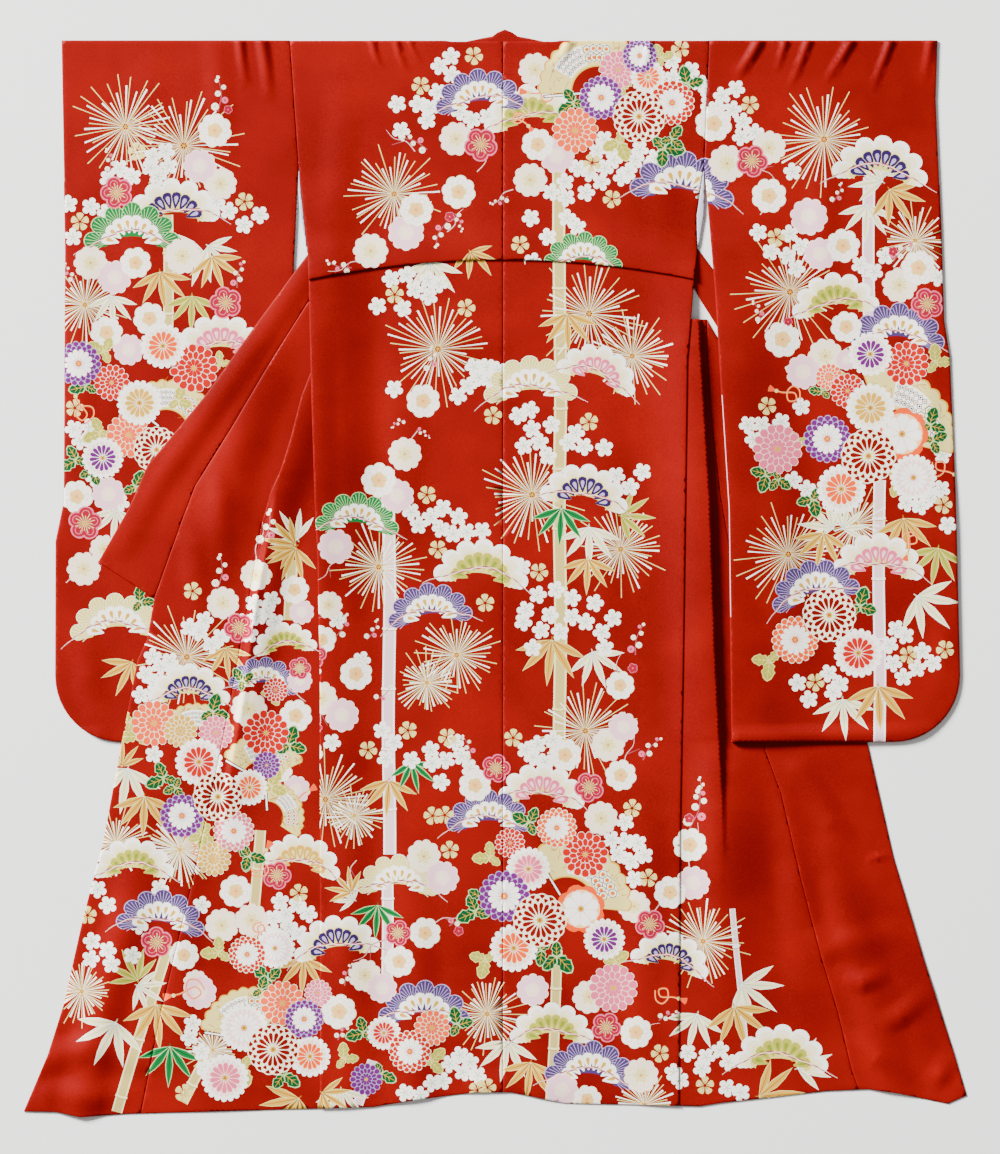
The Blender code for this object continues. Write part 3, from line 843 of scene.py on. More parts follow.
@dataclass(frozen=True)
class PineFan(Motif):
    """A pine crown drawn as a fan of round lobes over a twisted branch.

    Attributes:
        lobe: Dyes of the outer lobes, from the rim inwards.
        needles: Dye of the fine lines in the lobes, or None.
        scallop: Dye of the inner row.
        drop: Dye of the drop in each inner scallop.
        scallop_edge: Dye round the inner scallops, or None.
        lobes: How many outer lobes there are.
    """

    lobe: tuple
    needles: Optional[Dye]
    scallop: Dye
    drop: Dye
    scallop_edge: Optional[Dye] = None
    lobes: int = 7

    def arch(self, width: float, reach: float, depth: float) -> np.ndarray:
        """The scalloped outline of the crown at a share of its reach, closed below by a raised arc.

        Args:
            width: The crown's width.
            reach: Share of its reach.
            depth: How deep the notches are, as a share of the reach.

        Returns:
            The outline.
        """
        spread = math.radians(94)
        angle = np.linspace(-spread, spread, self.lobes * 7 + 1)
        phase = (angle + spread) / (2 * spread) * self.lobes * math.pi
        radius = 0.5 * width * reach * (1 - depth * (1 - np.abs(np.sin(phase)) ** 0.6))
        top = np.column_stack((radius * np.sin(angle), radius * np.cos(angle) * 0.92))
        inner = np.linspace(0.85 * spread, -0.85 * spread, 9)
        foot = width * np.column_stack((0.26 * np.sin(inner), 0.125 * np.cos(inner) - 0.02))
        return np.vstack((top, foot))

    def shapes(self, size: float, seed: int) -> list[Shape]:
        """Outer lobes and any needles, the inner row of scallops with drops, then the branch.

        Args:
            size: The width in mm.
            seed: Shifts the branch's waves.

        Returns:
            The shapes, the lowest first.
        """
        out = [(dye, self.arch(size, 1 - (0.02 if self.needles else 0.12) * step, 0.15 + 0.02 * step))
               for step, dye in enumerate(self.lobe)]
        middle = 188 / self.lobes
        for angle in (-94 + middle * (k + 0.5) for k in range(self.lobes)):
            root = turned(np.array((0, 0.27 * size)), angle)
            for tilt in (-52, -37, -24, -12, 0, 12, 24, 37, 52) if self.needles else ():
                needle = ray(0.015 * size, (0.215 - abs(tilt) * 0.0016) * size, 0.5, 1.1, tilt)
                out.append((self.needles, (turned(needle, angle) + root) * (1, 0.92)))
        count = self.lobes + 1
        for angle in (-84 + 168 * (k + 0.5) / count for k in range(count)):
            grow = 1.2 if self.scallop_edge else 0.0
            if self.scallop_edge:
                out.append((self.scallop_edge, petal(0.14 * size, 0.325 * size, 0.118 * size, angle)))
            width = 0.118 * size - 1.6 * grow
            out.append((self.scallop, petal(0.14 * size, 0.325 * size - grow, width, angle)))
            out.append((self.drop, petal(0.185 * size, 0.275 * size, 0.042 * size, angle)))
        return out + Branch().shapes(1.2 * size, seed, 0.155 * size)


@dataclass(frozen=True)
class Branch(Motif):
    """A twisted branch in a low arch."""

    def shapes(self, size: float, seed: int, extra: float = 0.0) -> list[Shape]:
        """Two strands that cross each other along the arch.

        Args:
            size: The length in mm.
            seed: Shifts its waves.
            extra: The arch's height, or 0 for the usual one.

        Returns:
            The shapes, the lowest first.
        """
        along = np.linspace(-0.5, 0.5, 33)
        rise = (extra or 0.12 * size) * (1 - (along * 2) ** 2 * 1.45) + 0.02 * size * np.sin(along * 9 + seed)
        out = []
        for dye, phase, wide in ((Dye.MAUVE, 0.0, 2.8), (Dye.BLUSH, math.pi, 1.3)):
            wave = 0.9 * np.sin(along * 46 + phase)
            spine = np.column_stack((along * size, rise + wave - 1.5))
            out.append((dye, band(spine, (0.5, wide, wide * 1.2, wide, 0.5))))
        return out


@dataclass(frozen=True)
class Spur(Motif):
    """A thin bare branch that grows upwards with a bend."""

    def shapes(self, size: float, seed: int) -> list[Shape]:
        """One tapered strand and a short side shoot.

        Args:
            size: The length in mm.
            seed: Picks the side it bends to.

        Returns:
            The shapes, the lowest first.
        """
        bend = 0.12 * size * (1 if seed % 2 else -1)
        spine = curve((0, 0), (bend, 0.35 * size), (0.2 * bend, 0.7 * size), (bend, size))
        shoot = curve((0.95 * bend, 0.4 * size), (-1.4 * bend, 0.66 * size), count=6)
        return [(Dye.MAUVE, band(spine, (2.6, 1.8, 0.8))), (Dye.BLUSH, band(spine, (0.9, 0.6, 0.3))),
                (Dye.MAUVE, band(shoot, (1.4, 0.7)))]


@dataclass(frozen=True)
class BudTwig(Motif):
    """A twig of round buds that get smaller towards its tip."""

    def shapes(self, size: float, seed: int) -> list[Shape]:
        """The twig and its buds, cream or pink, to both sides and at its tip.

        Args:
            size: The length in mm.
            seed: Picks the side it bends to, and the pink buds.

        Returns:
            The shapes, the lowest first.
        """
        lean = 0.10 * size * (1 if seed % 2 else -1)
        spine = curve((0, 0), (lean, 0.5 * size), (0, size))
        out = [(Dye.MAUVE, band(spine, (2.0, 1.4, 0.8)))]
        for k in range(5):
            at, side = 0.14 + 0.19 * k, 1 if k % 2 else -1
            radius = (0.115 - 0.014 * k) * size
            spot = np.array((lean * (1 - (2 * at - 1) ** 2) + side * radius * 1.15, at * size))
            out.append((Dye.PINK if (seed + k) % 4 == 0 else Dye.CREAM, ring(radius, 10) + spot))
            out.append((Dye.ROSE if (seed + k) % 4 == 0 else Dye.MIST, ring(0.3 * radius, 5) + spot))
        out.append((Dye.CREAM, ring(0.055 * size, 8) + (0, size)))
        return out


@dataclass(frozen=True)
class NeedleBurst(Motif):
    """A star of pine needles, white ones thickest at their ends and thin gold ones."""

    needles: int = 46

    def shapes(self, size: float, seed: int) -> list[Shape]:
        """Needles of uneven length round a small gold heart.

        Args:
            size: The radius in mm.
            seed: Picks the needles' lengths and turns.

        Returns:
            The shapes, the lowest first.
        """
        pick = np.random.default_rng(seed)
        out = []
        for k in range(self.needles):
            turn = 360 / self.needles * (k + pick.uniform(-0.3, 0.3))
            gold = k % 2 == 1
            reach = size * (pick.uniform(0.62, 1.0) if gold else pick.uniform(0.45, 0.88))
            end = 1.5 if gold else pick.uniform(2.2, 3.2)
            out.append((Dye.PALE_GOLD if gold else Dye.WHITE, ray(0.05 * size, reach, 0.5, end, turn)))
            if not gold and k % 4 == 0:
                out.append((Dye.GOLD, ray(0.05 * size, 0.55 * reach, 0.4, 1.0, turn + 2)))
        return out + around(Dye.GOLD, ray(0, 0.13 * size, 1.0, 2.0), 6)


@dataclass(frozen=True)
class BambooSpray(Motif):
    """Bamboo leaves that fan out from one joint."""

    edge: Dye
    leaf: Dye
    rib: Dye

    def shapes(self, size: float, seed: int) -> list[Shape]:
        """Five leaves, each with an edge, a face and a rib, and a short stem.

        Args:
            size: The longest leaf in mm.
            seed: Turns the leaves.

        Returns:
            The shapes, the lowest first.
        """
        out = []
        for turn, share in ((-62, 0.82), (62, 0.8), (-33, 0.95), (34, 0.92), (0, 1.0)):
            turn += seed * 7 % 13 - 6
            reach, lean = size * share, 0.0016 * turn
            out.append((self.edge, blade(reach, 0.19 * size, turn, 0, lean)))
            out.append((self.leaf, blade(reach * 0.93, 0.19 * size - 2.6, turn, 0.03 * size, lean)))
            spine = turned(np.array([(lean * reach * t * t, reach * t) for t in (0.05, 0.45, 0.86)]), turn)
            out.append((self.rib, band(spine, (1.5, 1.2, 0.6))))
        return out + [(self.rib, ray(0, 0.08 * size, 2.4, 1.2, 180))]


@dataclass(frozen=True)
class BambooStalk(Motif):
    """A bamboo stalk, placed by its top."""

    edge: Dye
    face: Dye

    def shapes(self, size: float, seed: int, extra: float = 0.0) -> list[Shape]:
        """The stalk with pale edges, and a joint every 95 mm.

        Args:
            size: The width in mm.
            seed: Shifts its sway.
            extra: The length in mm.

        Returns:
            The shapes, the lowest first.
        """
        count = max(int(extra / 12), 2)
        down = -np.linspace(0, extra, count)
        sway = 1.2 * np.sin(down / 60 + seed)
        spine = np.column_stack((sway, down))
        out = [(self.edge, band(spine, (size,))), (self.face, band(spine, (size * 0.72,)))]
        for at in np.arange(60, extra - 20, 95):
            x = 1.2 * math.sin(-at / 60 + seed)
            joint = np.array([(x - size * 0.56, -at), (x, -at - 1.5), (x + size * 0.56, -at)])
            out += [(self.edge, band(joint, (3.4,))), (Dye.OCHRE, band(joint * (0.98, 1) - (0, 2.4), (0.9,)))]
        return out


@dataclass(frozen=True)
class LeafSpray(Motif):
    """Three lobed chrysanthemum leaves that meet at one point."""

    edge: Dye
    leaf: Dye
    vein: Dye

    def one(self, size: float, turn: float, shift: float) -> list[Shape]:
        """A single leaf of five lobes with its veins.

        Args:
            size: Its length.
            turn: Degrees clockwise.
            shift: How far it is moved aside.

        Returns:
            The shapes, the lowest first.
        """
        lobes = ((0.30, 0.06), (0.62, 0.2), (0.5, 0.38), (0.72, 0.52), (0.54, 0.7), (0.42, 0.86),
                 (0.18, 0.95))
        right = [(0.5 * size * w, size * at) for w, at in lobes]
        outline = np.array([(0, 0), *right, (0, size), *[(-w, at) for w, at in reversed(right)]])
        middle = np.array((0, 0.5 * size))
        out = [(self.edge, turned(outline, turn)),
               (self.leaf, turned((outline - middle) * 0.86 + middle, turn)),
               (self.vein, ray(0.04 * size, 0.86 * size, 1.2, 0.6, turn))]
        for at, tilt in ((0.22, 48), (0.46, 44)):
            for side in (-1, 1):
                vein = ray(0, 0.24 * size, 0.9, 0.5, side * tilt) + (0, at * size)
                out.append((self.vein, turned(vein, turn)))
        return [(dye, shape + turned(np.array((shift, 0)), turn)) for dye, shape in out]

    def shapes(self, size: float, seed: int) -> list[Shape]:
        """A leaf to each side and a smaller one below."""
        sides = self.one(1.1 * size, -42, -1.5) + self.one(0.95 * size, 44, 1.5)
        return sides + self.one(0.8 * size, 178, 0)


@dataclass(frozen=True)
class CourtFan(Motif):
    """An open slatted fan of gold leaf, with bands of lattice and tortoiseshell."""

    spread: float = 62.0

    def sector(self, inner: float, outer: float, low: float, high: float, wavy: float = 0.0) -> np.ndarray:
        """A part of a ring between two radii and two angles.

        Args:
            inner: The smaller radius.
            outer: The larger one.
            low: Where it begins.
            high: Where it ends, both in degrees clockwise.
            wavy: Depth of its outer scallops, as a share of the radius.

        Returns:
            Its points.
        """
        steps = max(int(abs(high - low) / 6), 2)
        angle = np.radians(np.linspace(low, high, steps * (3 if wavy else 1) + 1))
        reach = outer * (1 - wavy * (1 - np.abs(np.sin(np.linspace(0, math.pi * steps / 2, len(angle))))))
        top = np.column_stack((reach * np.sin(angle), reach * np.cos(angle)))
        foot = np.column_stack((inner * np.sin(angle[::-1]), inner * np.cos(angle[::-1])))
        return np.vstack((top, foot))

    def shapes(self, size: float, seed: int) -> list[Shape]:
        """Gold leaf with crackle, a lattice band, a tortoiseshell band and the end slat.

        Args:
            size: The width in mm.
            seed: Picks the crackle's lines.

        Returns:
            The shapes, the lowest first.
        """
        pick = np.random.default_rng(seed)
        reach = size / (2 * math.sin(math.radians(self.spread)))
        side = self.spread
        out = [(Dye.GOLD, self.sector(0.42 * reach, reach, -side, side, 0.05)),
               (Dye.PALE_GOLD, self.sector(0.44 * reach, 0.975 * reach, -side + 1, side - 1, 0.05))]
        for _ in range(34):
            turn, at = pick.uniform(-side, side) * 0.93, pick.uniform(0.5, 0.92) * reach
            spot = turned(np.array((0, at)), turn)
            bits = curve((0, 0), tuple(pick.uniform(-7, 7, 2)), tuple(pick.uniform(-13, 13, 2)), count=6)
            out.append((Dye.OCHRE, band(bits + spot, (0.7, 0.9, 0.4))))
        low, high, near, far = -30.0, 8.0, 0.50 * reach, 0.80 * reach
        out.append((Dye.WHITE, self.sector(near - 2, far + 2, low - 2, high + 2)))
        steps, rows = 6, 3
        for i in range(steps):
            for j in range(rows):
                angle = low + (high - low) * (i + 0.5) / steps
                at = near + (far - near) * (j + 0.5) / rows
                half = 0.46 * (far - near) / rows
                cell = np.array(((0, half), (half * 1.1, 0), (0, -half), (-half * 1.1, 0)))
                spot = turned(np.array((0, at)), angle)
                out.append((Dye.INK, turned(cell, angle) + spot))
                out.append((Dye.WHITE, turned(cell * 0.72, angle) + spot))
                out.append((Dye.ORANGE if (i + j) % 2 else Dye.INK, turned(cell * 0.36, angle) + spot))
        low, high = 12.0, 46.0
        out.append((Dye.CREAM, self.sector(near, far, low, high)))
        for i in range(4):
            angle = low + (high - low) * (i + 0.5) / 4
            for j in range(2):
                spot = turned(np.array((0, near + (far - near) * (j + 0.5) / 2)), angle)
                for dye, share in ((Dye.INK, 0.5), (Dye.WHITE, 0.41), (Dye.GOLD, 0.26), (Dye.ORANGE, 0.15)):
                    out.append((dye, ring(share * (far - near) / 2, 6, turn=angle) + spot))
        out.append((Dye.INK, ray(0.16 * reach, 0.9 * reach, 5.2, 5.2, -side - 3)))
        out.append((Dye.WHITE, ray(0.18 * reach, 0.88 * reach, 2.6, 2.6, -side - 3)))
        return out


@dataclass(frozen=True)
class Cord(Motif):
    """A silk cord in two loose loops that ends in a tassel."""

    def shapes(self, size: float, seed: int) -> list[Shape]:
        """Two lines side by side along the loops, then the tassel.

        Args:
            size: The length in mm.
            seed: Not used, as all cords are alike.

        Returns:
            The shapes, the lowest first.
        """
        loop = size * curve((0, 0), (0.34, 0.16), (0.40, 0.44), (0.12, 0.58), (-0.2, 0.42), (-0.08, 0.14),
                            (0.16, 0.3), (0.02, 0.74), (0, 1.0), count=48)
        out = []
        for dye, part, width in ((Dye.ORANGE, loop, 2.6), (Dye.PEACH, loop + (0.7, 0.5), 0.9)):
            out += [(dye, band(part[at:at + 8], (width,))) for at in range(0, len(part) - 1, 7)]
        for k in range(-2, 3):
            thread = ray(0, 0.34 * size, 1.6, 3.0, 9 * k)
            out.append((Dye.ORANGE if k % 2 else Dye.SALMON, thread + (0, size)))
        out.append((Dye.PALE_GOLD, ring(3.2, 8) + (0, size)))
        return out


PALE_LOBES = (Dye.WHITE, Dye.CREAM, Dye.PALE_STRAW, Dye.STRAW)


class Kind(Enum):
    """The figures of the pattern, listed from the lowest to the top one."""

    STALK_KHAKI = BambooStalk(Dye.PALE_STRAW, Dye.KHAKI)
    STALK_LILAC = BambooStalk(Dye.WHITE, Dye.LILAC)
    BURST = NeedleBurst()
    BAMBOO_WHITE = BambooSpray(Dye.WHITE, Dye.PALE_STRAW, Dye.MIST)
    BAMBOO_GOLD = BambooSpray(Dye.PALE_GOLD, Dye.GOLD, Dye.OCHRE)
    BAMBOO_GREEN = BambooSpray(Dye.PALE_GOLD, Dye.OLIVE, Dye.MOSS)
    BAMBOO_DEEP = BambooSpray(Dye.PALE_LEAF, Dye.LEAF, Dye.DEEP_LEAF)
    SMALL = SmallBlossom(Dye.WHITE, Dye.MIST)
    SMALL_GOLD = SmallBlossom(Dye.PALE_GOLD, Dye.OCHRE, True)
    PINE_STRAW = PineFan((Dye.CREAM, Dye.STRAW), Dye.CREAM, Dye.WHITE, Dye.GOLD)
    PINE_OLIVE = PineFan(PALE_LOBES, None, Dye.OLIVE, Dye.MOSS, Dye.STRAW)
    PINE_PINK = PineFan(PALE_LOBES, None, Dye.PINK, Dye.PALE_PINK, Dye.BLUSH)
    PINE_YELLOW = PineFan(PALE_LOBES[:3], None, Dye.GOLD, Dye.PALE_GOLD, Dye.PEACH)
    PINE_PURPLE_EYE = PineFan(PALE_LOBES, None, Dye.DEEP_VIOLET, Dye.PALE_VIOLET, Dye.PALE_GOLD)
    PINE_PURPLE = PineFan((Dye.PALE_VIOLET, Dye.VIOLET), Dye.PALE_VIOLET, Dye.WHITE, Dye.GOLD)
    PINE_GREEN = PineFan((Dye.PALE_LEAF, Dye.LEAF), Dye.PALE_LEAF, Dye.WHITE, Dye.GOLD)
    BRANCH = Spur()
    TWIG = BudTwig()
    PLUM_CREAM = Plum(Dye.BLUSH, Dye.CREAM, Dye.PALE_STRAW, Dye.BLUSH, Dye.GOLD, 10)
    PLUM_PINK = Plum(Dye.BLUSH, Dye.PALE_PINK, Dye.BLUSH, Dye.LILAC, Dye.CREAM, 10)
    PLUM_WHITE = Plum(Dye.CREAM, Dye.WHITE, Dye.PEACH, Dye.BLUSH, Dye.GOLD, 8)
    PLUM_ROSE = RosePlum()
    CORD = Cord()
    FAN_LEAF = CourtFan()
    LEAF_OLIVE = LeafSpray(Dye.PALE_GOLD, Dye.OLIVE, Dye.PALE_GOLD)
    LEAF_GREEN = LeafSpray(Dye.PALE_LEAF, Dye.DEEP_LEAF, Dye.GOLD)
    CHRYS_PINK = FullChrysanthemum(Dye.PINK, Dye.BLUSH)
    CHRYS_ORANGE = FullChrysanthemum(Dye.SALMON, Dye.CREAM)
    CHRYS_RED = FullChrysanthemum(Dye.SCARLET, Dye.BLUSH)
    CHRYS_PURPLE = FullChrysanthemum(Dye.PURPLE, Dye.PALE_VIOLET)
    CHRYS_YELLOW = FullChrysanthemum(Dye.GOLD, Dye.CREAM)
    CHRYS_PEONY = Chrysanthemum(Dye.ORANGE, Dye.PEACH, Dye.WHITE, Dye.BLUSH, 8, 0.72, 8)
    CHRYS_WHITE_PALE = Chrysanthemum(Dye.WHITE, Dye.BLUSH, Dye.WHITE, Dye.PALE_PINK, 22, 0.62, 14)
    CHRYS_WHITE_PINK = Chrysanthemum(Dye.WHITE, Dye.BLUSH, Dye.PINK, Dye.BLUSH)
    CHRYS_WHITE_GOLD = Chrysanthemum(Dye.WHITE, Dye.CREAM, Dye.GOLD, Dye.CREAM)
    CHRYS_WHITE_ORANGE = Chrysanthemum(Dye.WHITE, Dye.BLUSH, Dye.ORANGE, Dye.CREAM)
    CHRYS_WHITE_PURPLE = Chrysanthemum(Dye.WHITE, Dye.BLUSH, Dye.PURPLE, Dye.WHITE)
    CHRYS_WHITE_RED = Chrysanthemum(Dye.WHITE, Dye.BLUSH, Dye.SCARLET, Dye.BLUSH)
    CHRYS_RING_ORANGE = RingedChrysanthemum(Dye.ORANGE, Dye.CREAM)
    CHRYS_RING_RED = RingedChrysanthemum(Dye.SCARLET, Dye.CREAM)
    CHRYS_RING_PINK = RingedChrysanthemum(Dye.PINK, Dye.CREAM)
    CHRYS_RING_PURPLE = RingedChrysanthemum(Dye.PURPLE, Dye.PALE_VIOLET)
    CHRYS_LACE = Lace()


# Places of the figures: (x, down, size, degrees clockwise, extra length) in mm, as far as each needs

LEFT_SLEEVE = {
    Kind.STALK_KHAKI: [(-529, 275, 16, 0, 209)],
    Kind.BURST: [(-596, 136, 92), (-504, 166, 104, 10), (-660, 417, 74, 5)],
    Kind.BAMBOO_WHITE: [(-472, 333, 62, -130), (-466, 324, 50, 130), (-618, 403, 52, 180),
        (-610, 741, 54, 195)],
    Kind.BAMBOO_GOLD: [(-542, 365, 62, 178), (-460, 340, 58, 165), (-586, 981, 60, 200)],
    Kind.BAMBOO_GREEN: [(-491, 403, 58, 176)],
    Kind.SMALL: [(-553, 183), (-532, 175), (-556, 201), (-528, 198), (-545, 215), (-605, 202),
        (-585, 215), (-623, 218), (-651, 262), (-627, 272), (-686, 258), (-679, 310), (-433, 269),
        (-409, 291), (-384, 275), (-678, 613), (-653, 611), (-667, 632), (-640, 640), (-453, 254),
        (-604, 730), (-645, 690)],
    Kind.SMALL_GOLD: [(-578, 175), (-668, 286), (-408, 254), (-676, 580)],
    Kind.PINE_STRAW: [(-610, 940, 148, -3)],
    Kind.PINE_PINK: [(-446, 498, 146)],
    Kind.PINE_PURPLE_EYE: [(-520, 286, 150, -4)],
    Kind.PINE_GREEN: [(-586, 325, 154)],
    Kind.BRANCH: [(-690, 856, 62, 70), (-608, 362, 40, -60)],
    Kind.TWIG: [(-450, 112, 54), (-621, 207, 36, -8), (-420, 390, 42, 15), (-676, 378, 30, -30)],
    Kind.PLUM_CREAM: [(-446, 226, 26), (-651, 351, 27), (-506, 340, 29), (-662, 834, 27), (-630, 803, 23)],
    Kind.PLUM_PINK: [(-479, 198, 27), (-613, 374, 27), (-591, 488, 25), (-623, 716, 27)],
    Kind.PLUM_WHITE: [(-455, 142, 27), (-580, 351, 25), (-558, 439, 26), (-626, 461, 26), (-673, 720, 26)],
    Kind.PLUM_ROSE: [(-610, 240, 26), (-438, 414, 26), (-660, 762, 27), (-434, 109, 7)],
    Kind.CORD: [(-659, 605, 46, -20)],
    Kind.FAN_LEAF: [(-532, 618, 148, 14)],
    Kind.LEAF_OLIVE: [(-630, 490, 26, -20), (-637, 619, 27, -70), (-512, 569, 24, 60),
        (-446, 509, 18, 40)],
    Kind.LEAF_GREEN: [(-659, 545, 26, -60), (-675, 662, 27, -75), (-580, 705, 27, 70),
        (-649, 681, 22, 200), (-572, 886, 24, 40)],
    Kind.CHRYS_ORANGE: [(-591, 623, 36)],
    Kind.CHRYS_RED: [(-618, 540, 29), (-488, 517, 39)],
    Kind.CHRYS_WHITE_GOLD: [(-574, 572, 36)],
    Kind.CHRYS_WHITE_ORANGE: [(-537, 482, 36)],
    Kind.CHRYS_WHITE_PURPLE: [(-632, 659, 33)],
    Kind.CHRYS_RING_PURPLE: [(-670, 510, 36)],
    Kind.CHRYS_LACE: [(-547, 646, 37)],
}

RIGHT_SLEEVE = {
    Kind.STALK_LILAC: [(578, 216, 19, 0, 276), (594, 694, 19, 0, 635)],
    Kind.BURST: [(507, 156, 95, 4), (651, 316, 66), (453, 397, 96, 8), (450, 811, 92, 6),
        (556, 763, 72, 15)],
    Kind.BAMBOO_WHITE: [(599, 223, 58, -62), (604, 213, 44, 22), (575, 259, 60, 185),
        (521, 771, 60, -42), (536, 771, 46, 48), (653, 877, 74, 128), (536, 1040, 66, 180)],
    Kind.BAMBOO_GOLD: [(610, 235, 64, 150), (506, 777, 60, 190), (632, 754, 66, 172),
        (592, 1019, 72, 178)],
    Kind.BAMBOO_GREEN: [(687, 801, 62, 192)],
    Kind.SMALL: [(368, 76), (363, 109), (379, 128), (376, 152), (398, 145), (338, 106), (346, 87),
        (457, 207), (403, 303), (453, 305), (423, 333), (449, 340), (471, 325), (463, 360), (564, 354),
        (586, 365), (604, 340), (386, 607), (408, 607), (395, 630), (439, 602), (471, 578), (637, 730),
        (659, 735), (675, 722), (692, 708), (702, 765), (480, 708), (458, 694), (635, 939), (621, 929),
        (662, 964), (679, 983), (654, 991), (632, 1005), (616, 983), (610, 954), (465, 1014),
        (483, 1040), (514, 999), (532, 1016), (521, 1029), (687, 374), (694, 654)],
    Kind.SMALL_GOLD: [(390, 101), (431, 311), (417, 577), (695, 733), (640, 970), (698, 961), (493, 1013)],
    Kind.PINE_OLIVE: [(526, 430, 140, -6)],
    Kind.PINE_PINK: [(592, 844, 146, 4)],
    Kind.PINE_PURPLE_EYE: [(594, 220, 154, 6)],
    Kind.PINE_PURPLE: [(281, 251, 168, 8), (623, 482, 150, 3), (496, 885, 144, -14)],
    Kind.BRANCH: [(386, 180, 66, 128), (461, 259, 52, 140), (406, 275, 34, 60)],
    Kind.TWIG: [(520, 256, 34, 25), (406, 444, 34, -20), (616, 349, 44, 50), (447, 523, 26, 60)],
    Kind.PLUM_CREAM: [(420, 169, 27), (354, 194, 30), (626, 386, 28), (509, 498, 28)],
    Kind.PLUM_PINK: [(483, 278, 30), (501, 337, 26), (474, 523, 28), (542, 504, 17)],
    Kind.PLUM_WHITE: [(333, 131, 29), (420, 245, 28), (537, 324, 27), (656, 359, 28), (542, 452, 25),
        (441, 472, 29)],
    Kind.PLUM_ROSE: [(393, 190, 26), (670, 416, 26), (450, 444, 7), (616, 333, 8)],
    Kind.CORD: [(469, 567, 40, -70), (678, 665, 40, 120), (651, 776, 36, 200)],
    Kind.FAN_LEAF: [(605, 627, 196, 42)],
    Kind.LEAF_OLIVE: [(684, 507, 27, 40), (465, 635, 30, -100), (623, 698, 26, 150), (419, 980, 29, 230),
        (544, 540, 20, 10)],
    Kind.LEAF_GREEN: [(414, 686, 27, -120), (434, 694, 22, 170), (488, 725, 27, 210),
        (504, 553, 20, -40), (675, 607, 28, 60), (564, 893, 30, 60), (679, 632, 24, 110)],
    Kind.CHRYS_PINK: [(433, 645, 40)],
    Kind.CHRYS_ORANGE: [(515, 531, 22)],
    Kind.CHRYS_RED: [(544, 553, 28), (637, 510, 36)],
    Kind.CHRYS_PEONY: [(630, 621, 42)],
    Kind.CHRYS_WHITE_PALE: [(648, 690, 37)],
    Kind.CHRYS_WHITE_GOLD: [(580, 580, 39)],
    Kind.CHRYS_WHITE_ORANGE: [(534, 708, 39)],
    Kind.CHRYS_WHITE_PURPLE: [(580, 495, 35)],
    Kind.CHRYS_WHITE_RED: [(561, 967, 39)],
    Kind.CHRYS_RING_ORANGE: [(461, 946, 38)],
    Kind.CHRYS_RING_PURPLE: [(512, 629, 38)],
    Kind.CHRYS_LACE: [(577, 656, 44), (515, 907, 43)],
}

YOKE = {
    Kind.STALK_KHAKI: [(87, 188, 20, 0, 183)],
    Kind.BURST: [(-172, 242, 84, 8)],
    Kind.BAMBOO_GOLD: [(-52, 333, 44, 140)],
    Kind.SMALL: [(-82, 25), (-100, 40), (-81, 54), (-167, 100), (-134, 100), (-120, 126), (-103, 81),
        (-161, 142), (-115, 106), (-49, 125), (-24, 120), (-68, 112), (267, 32), (297, 47), (269, 58),
        (322, 76), (337, 88), (325, 100), (311, 68), (160, 156), (149, 174), (175, 188), (161, 201),
        (209, 188), (231, 201), (188, 216), (137, 209), (198, 207), (172, 172), (131, 240), (76, 239),
        (98, 223), (100, 248), (118, 201), (44, 280), (101, 280), (117, 294), (71, 310), (155, 223),
        (216, 172), (240, 185), (47, 349)],
    Kind.SMALL_GOLD: [(-46, 24), (-130, 71), (280, 13), (141, 193), (172, 250), (27, 322), (248, 70)],
    Kind.PINE_OLIVE: [(44, 136, 148, -6)],
    Kind.PINE_PURPLE: [(-36, 109, 142, -4), (281, 251, 168, 8)],
    Kind.PINE_GREEN: [(126, 359, 126, 4)],
    Kind.BRANCH: [(-41, 207, 56, 22), (-139, 175, 56, -60), (-218, 349, 60, -112), (-88, 302, 44, 28),
        (16, 235, 44, -130)],
    Kind.TWIG: [(-120, 172, 46, -66), (-239, 359, 40, -74), (-88, 286, 44, 205), (-76, 273, 30, 160),
        (8, 246, 30, -110)],
    Kind.PLUM_CREAM: [(-74, 155, 27), (-209, 332, 28), (51, 46, 27), (43, 220, 27), (354, 194, 30)],
    Kind.PLUM_PINK: [(-153, 303, 29), (85, 182, 28)],
    Kind.PLUM_WHITE: [(-70, 239, 27), (-137, 267, 27), (55, 164, 26), (332, 131, 29)],
    Kind.PLUM_ROSE: [(-35, 164, 27), (-84, 278, 8)],
    Kind.CORD: [(84, 90, 44, -80), (21, 112, 30, 140)],
    Kind.FAN_LEAF: [(149, 81, 168, -30)],
    Kind.LEAF_OLIVE: [(183, 161, 30, 200), (251, 27, 22, 20), (188, 74, 24)],
    Kind.LEAF_GREEN: [(111, 98, 28, -80), (292, 68, 28, 30), (254, 171, 32, 140), (126, 112, 22, 190),
        (267, 156, 24, 80)],
    Kind.CHRYS_PINK: [(182, 46, 31)],
    Kind.CHRYS_ORANGE: [(114, 142, 37)],
    Kind.CHRYS_WHITE_ORANGE: [(229, 58, 28)],
    Kind.CHRYS_RING_RED: [(267, 98, 36)],
    Kind.CHRYS_RING_PURPLE: [(155, 90, 35), (216, 24, 28)],
    Kind.CHRYS_LACE: [(215, 120, 42)],
}

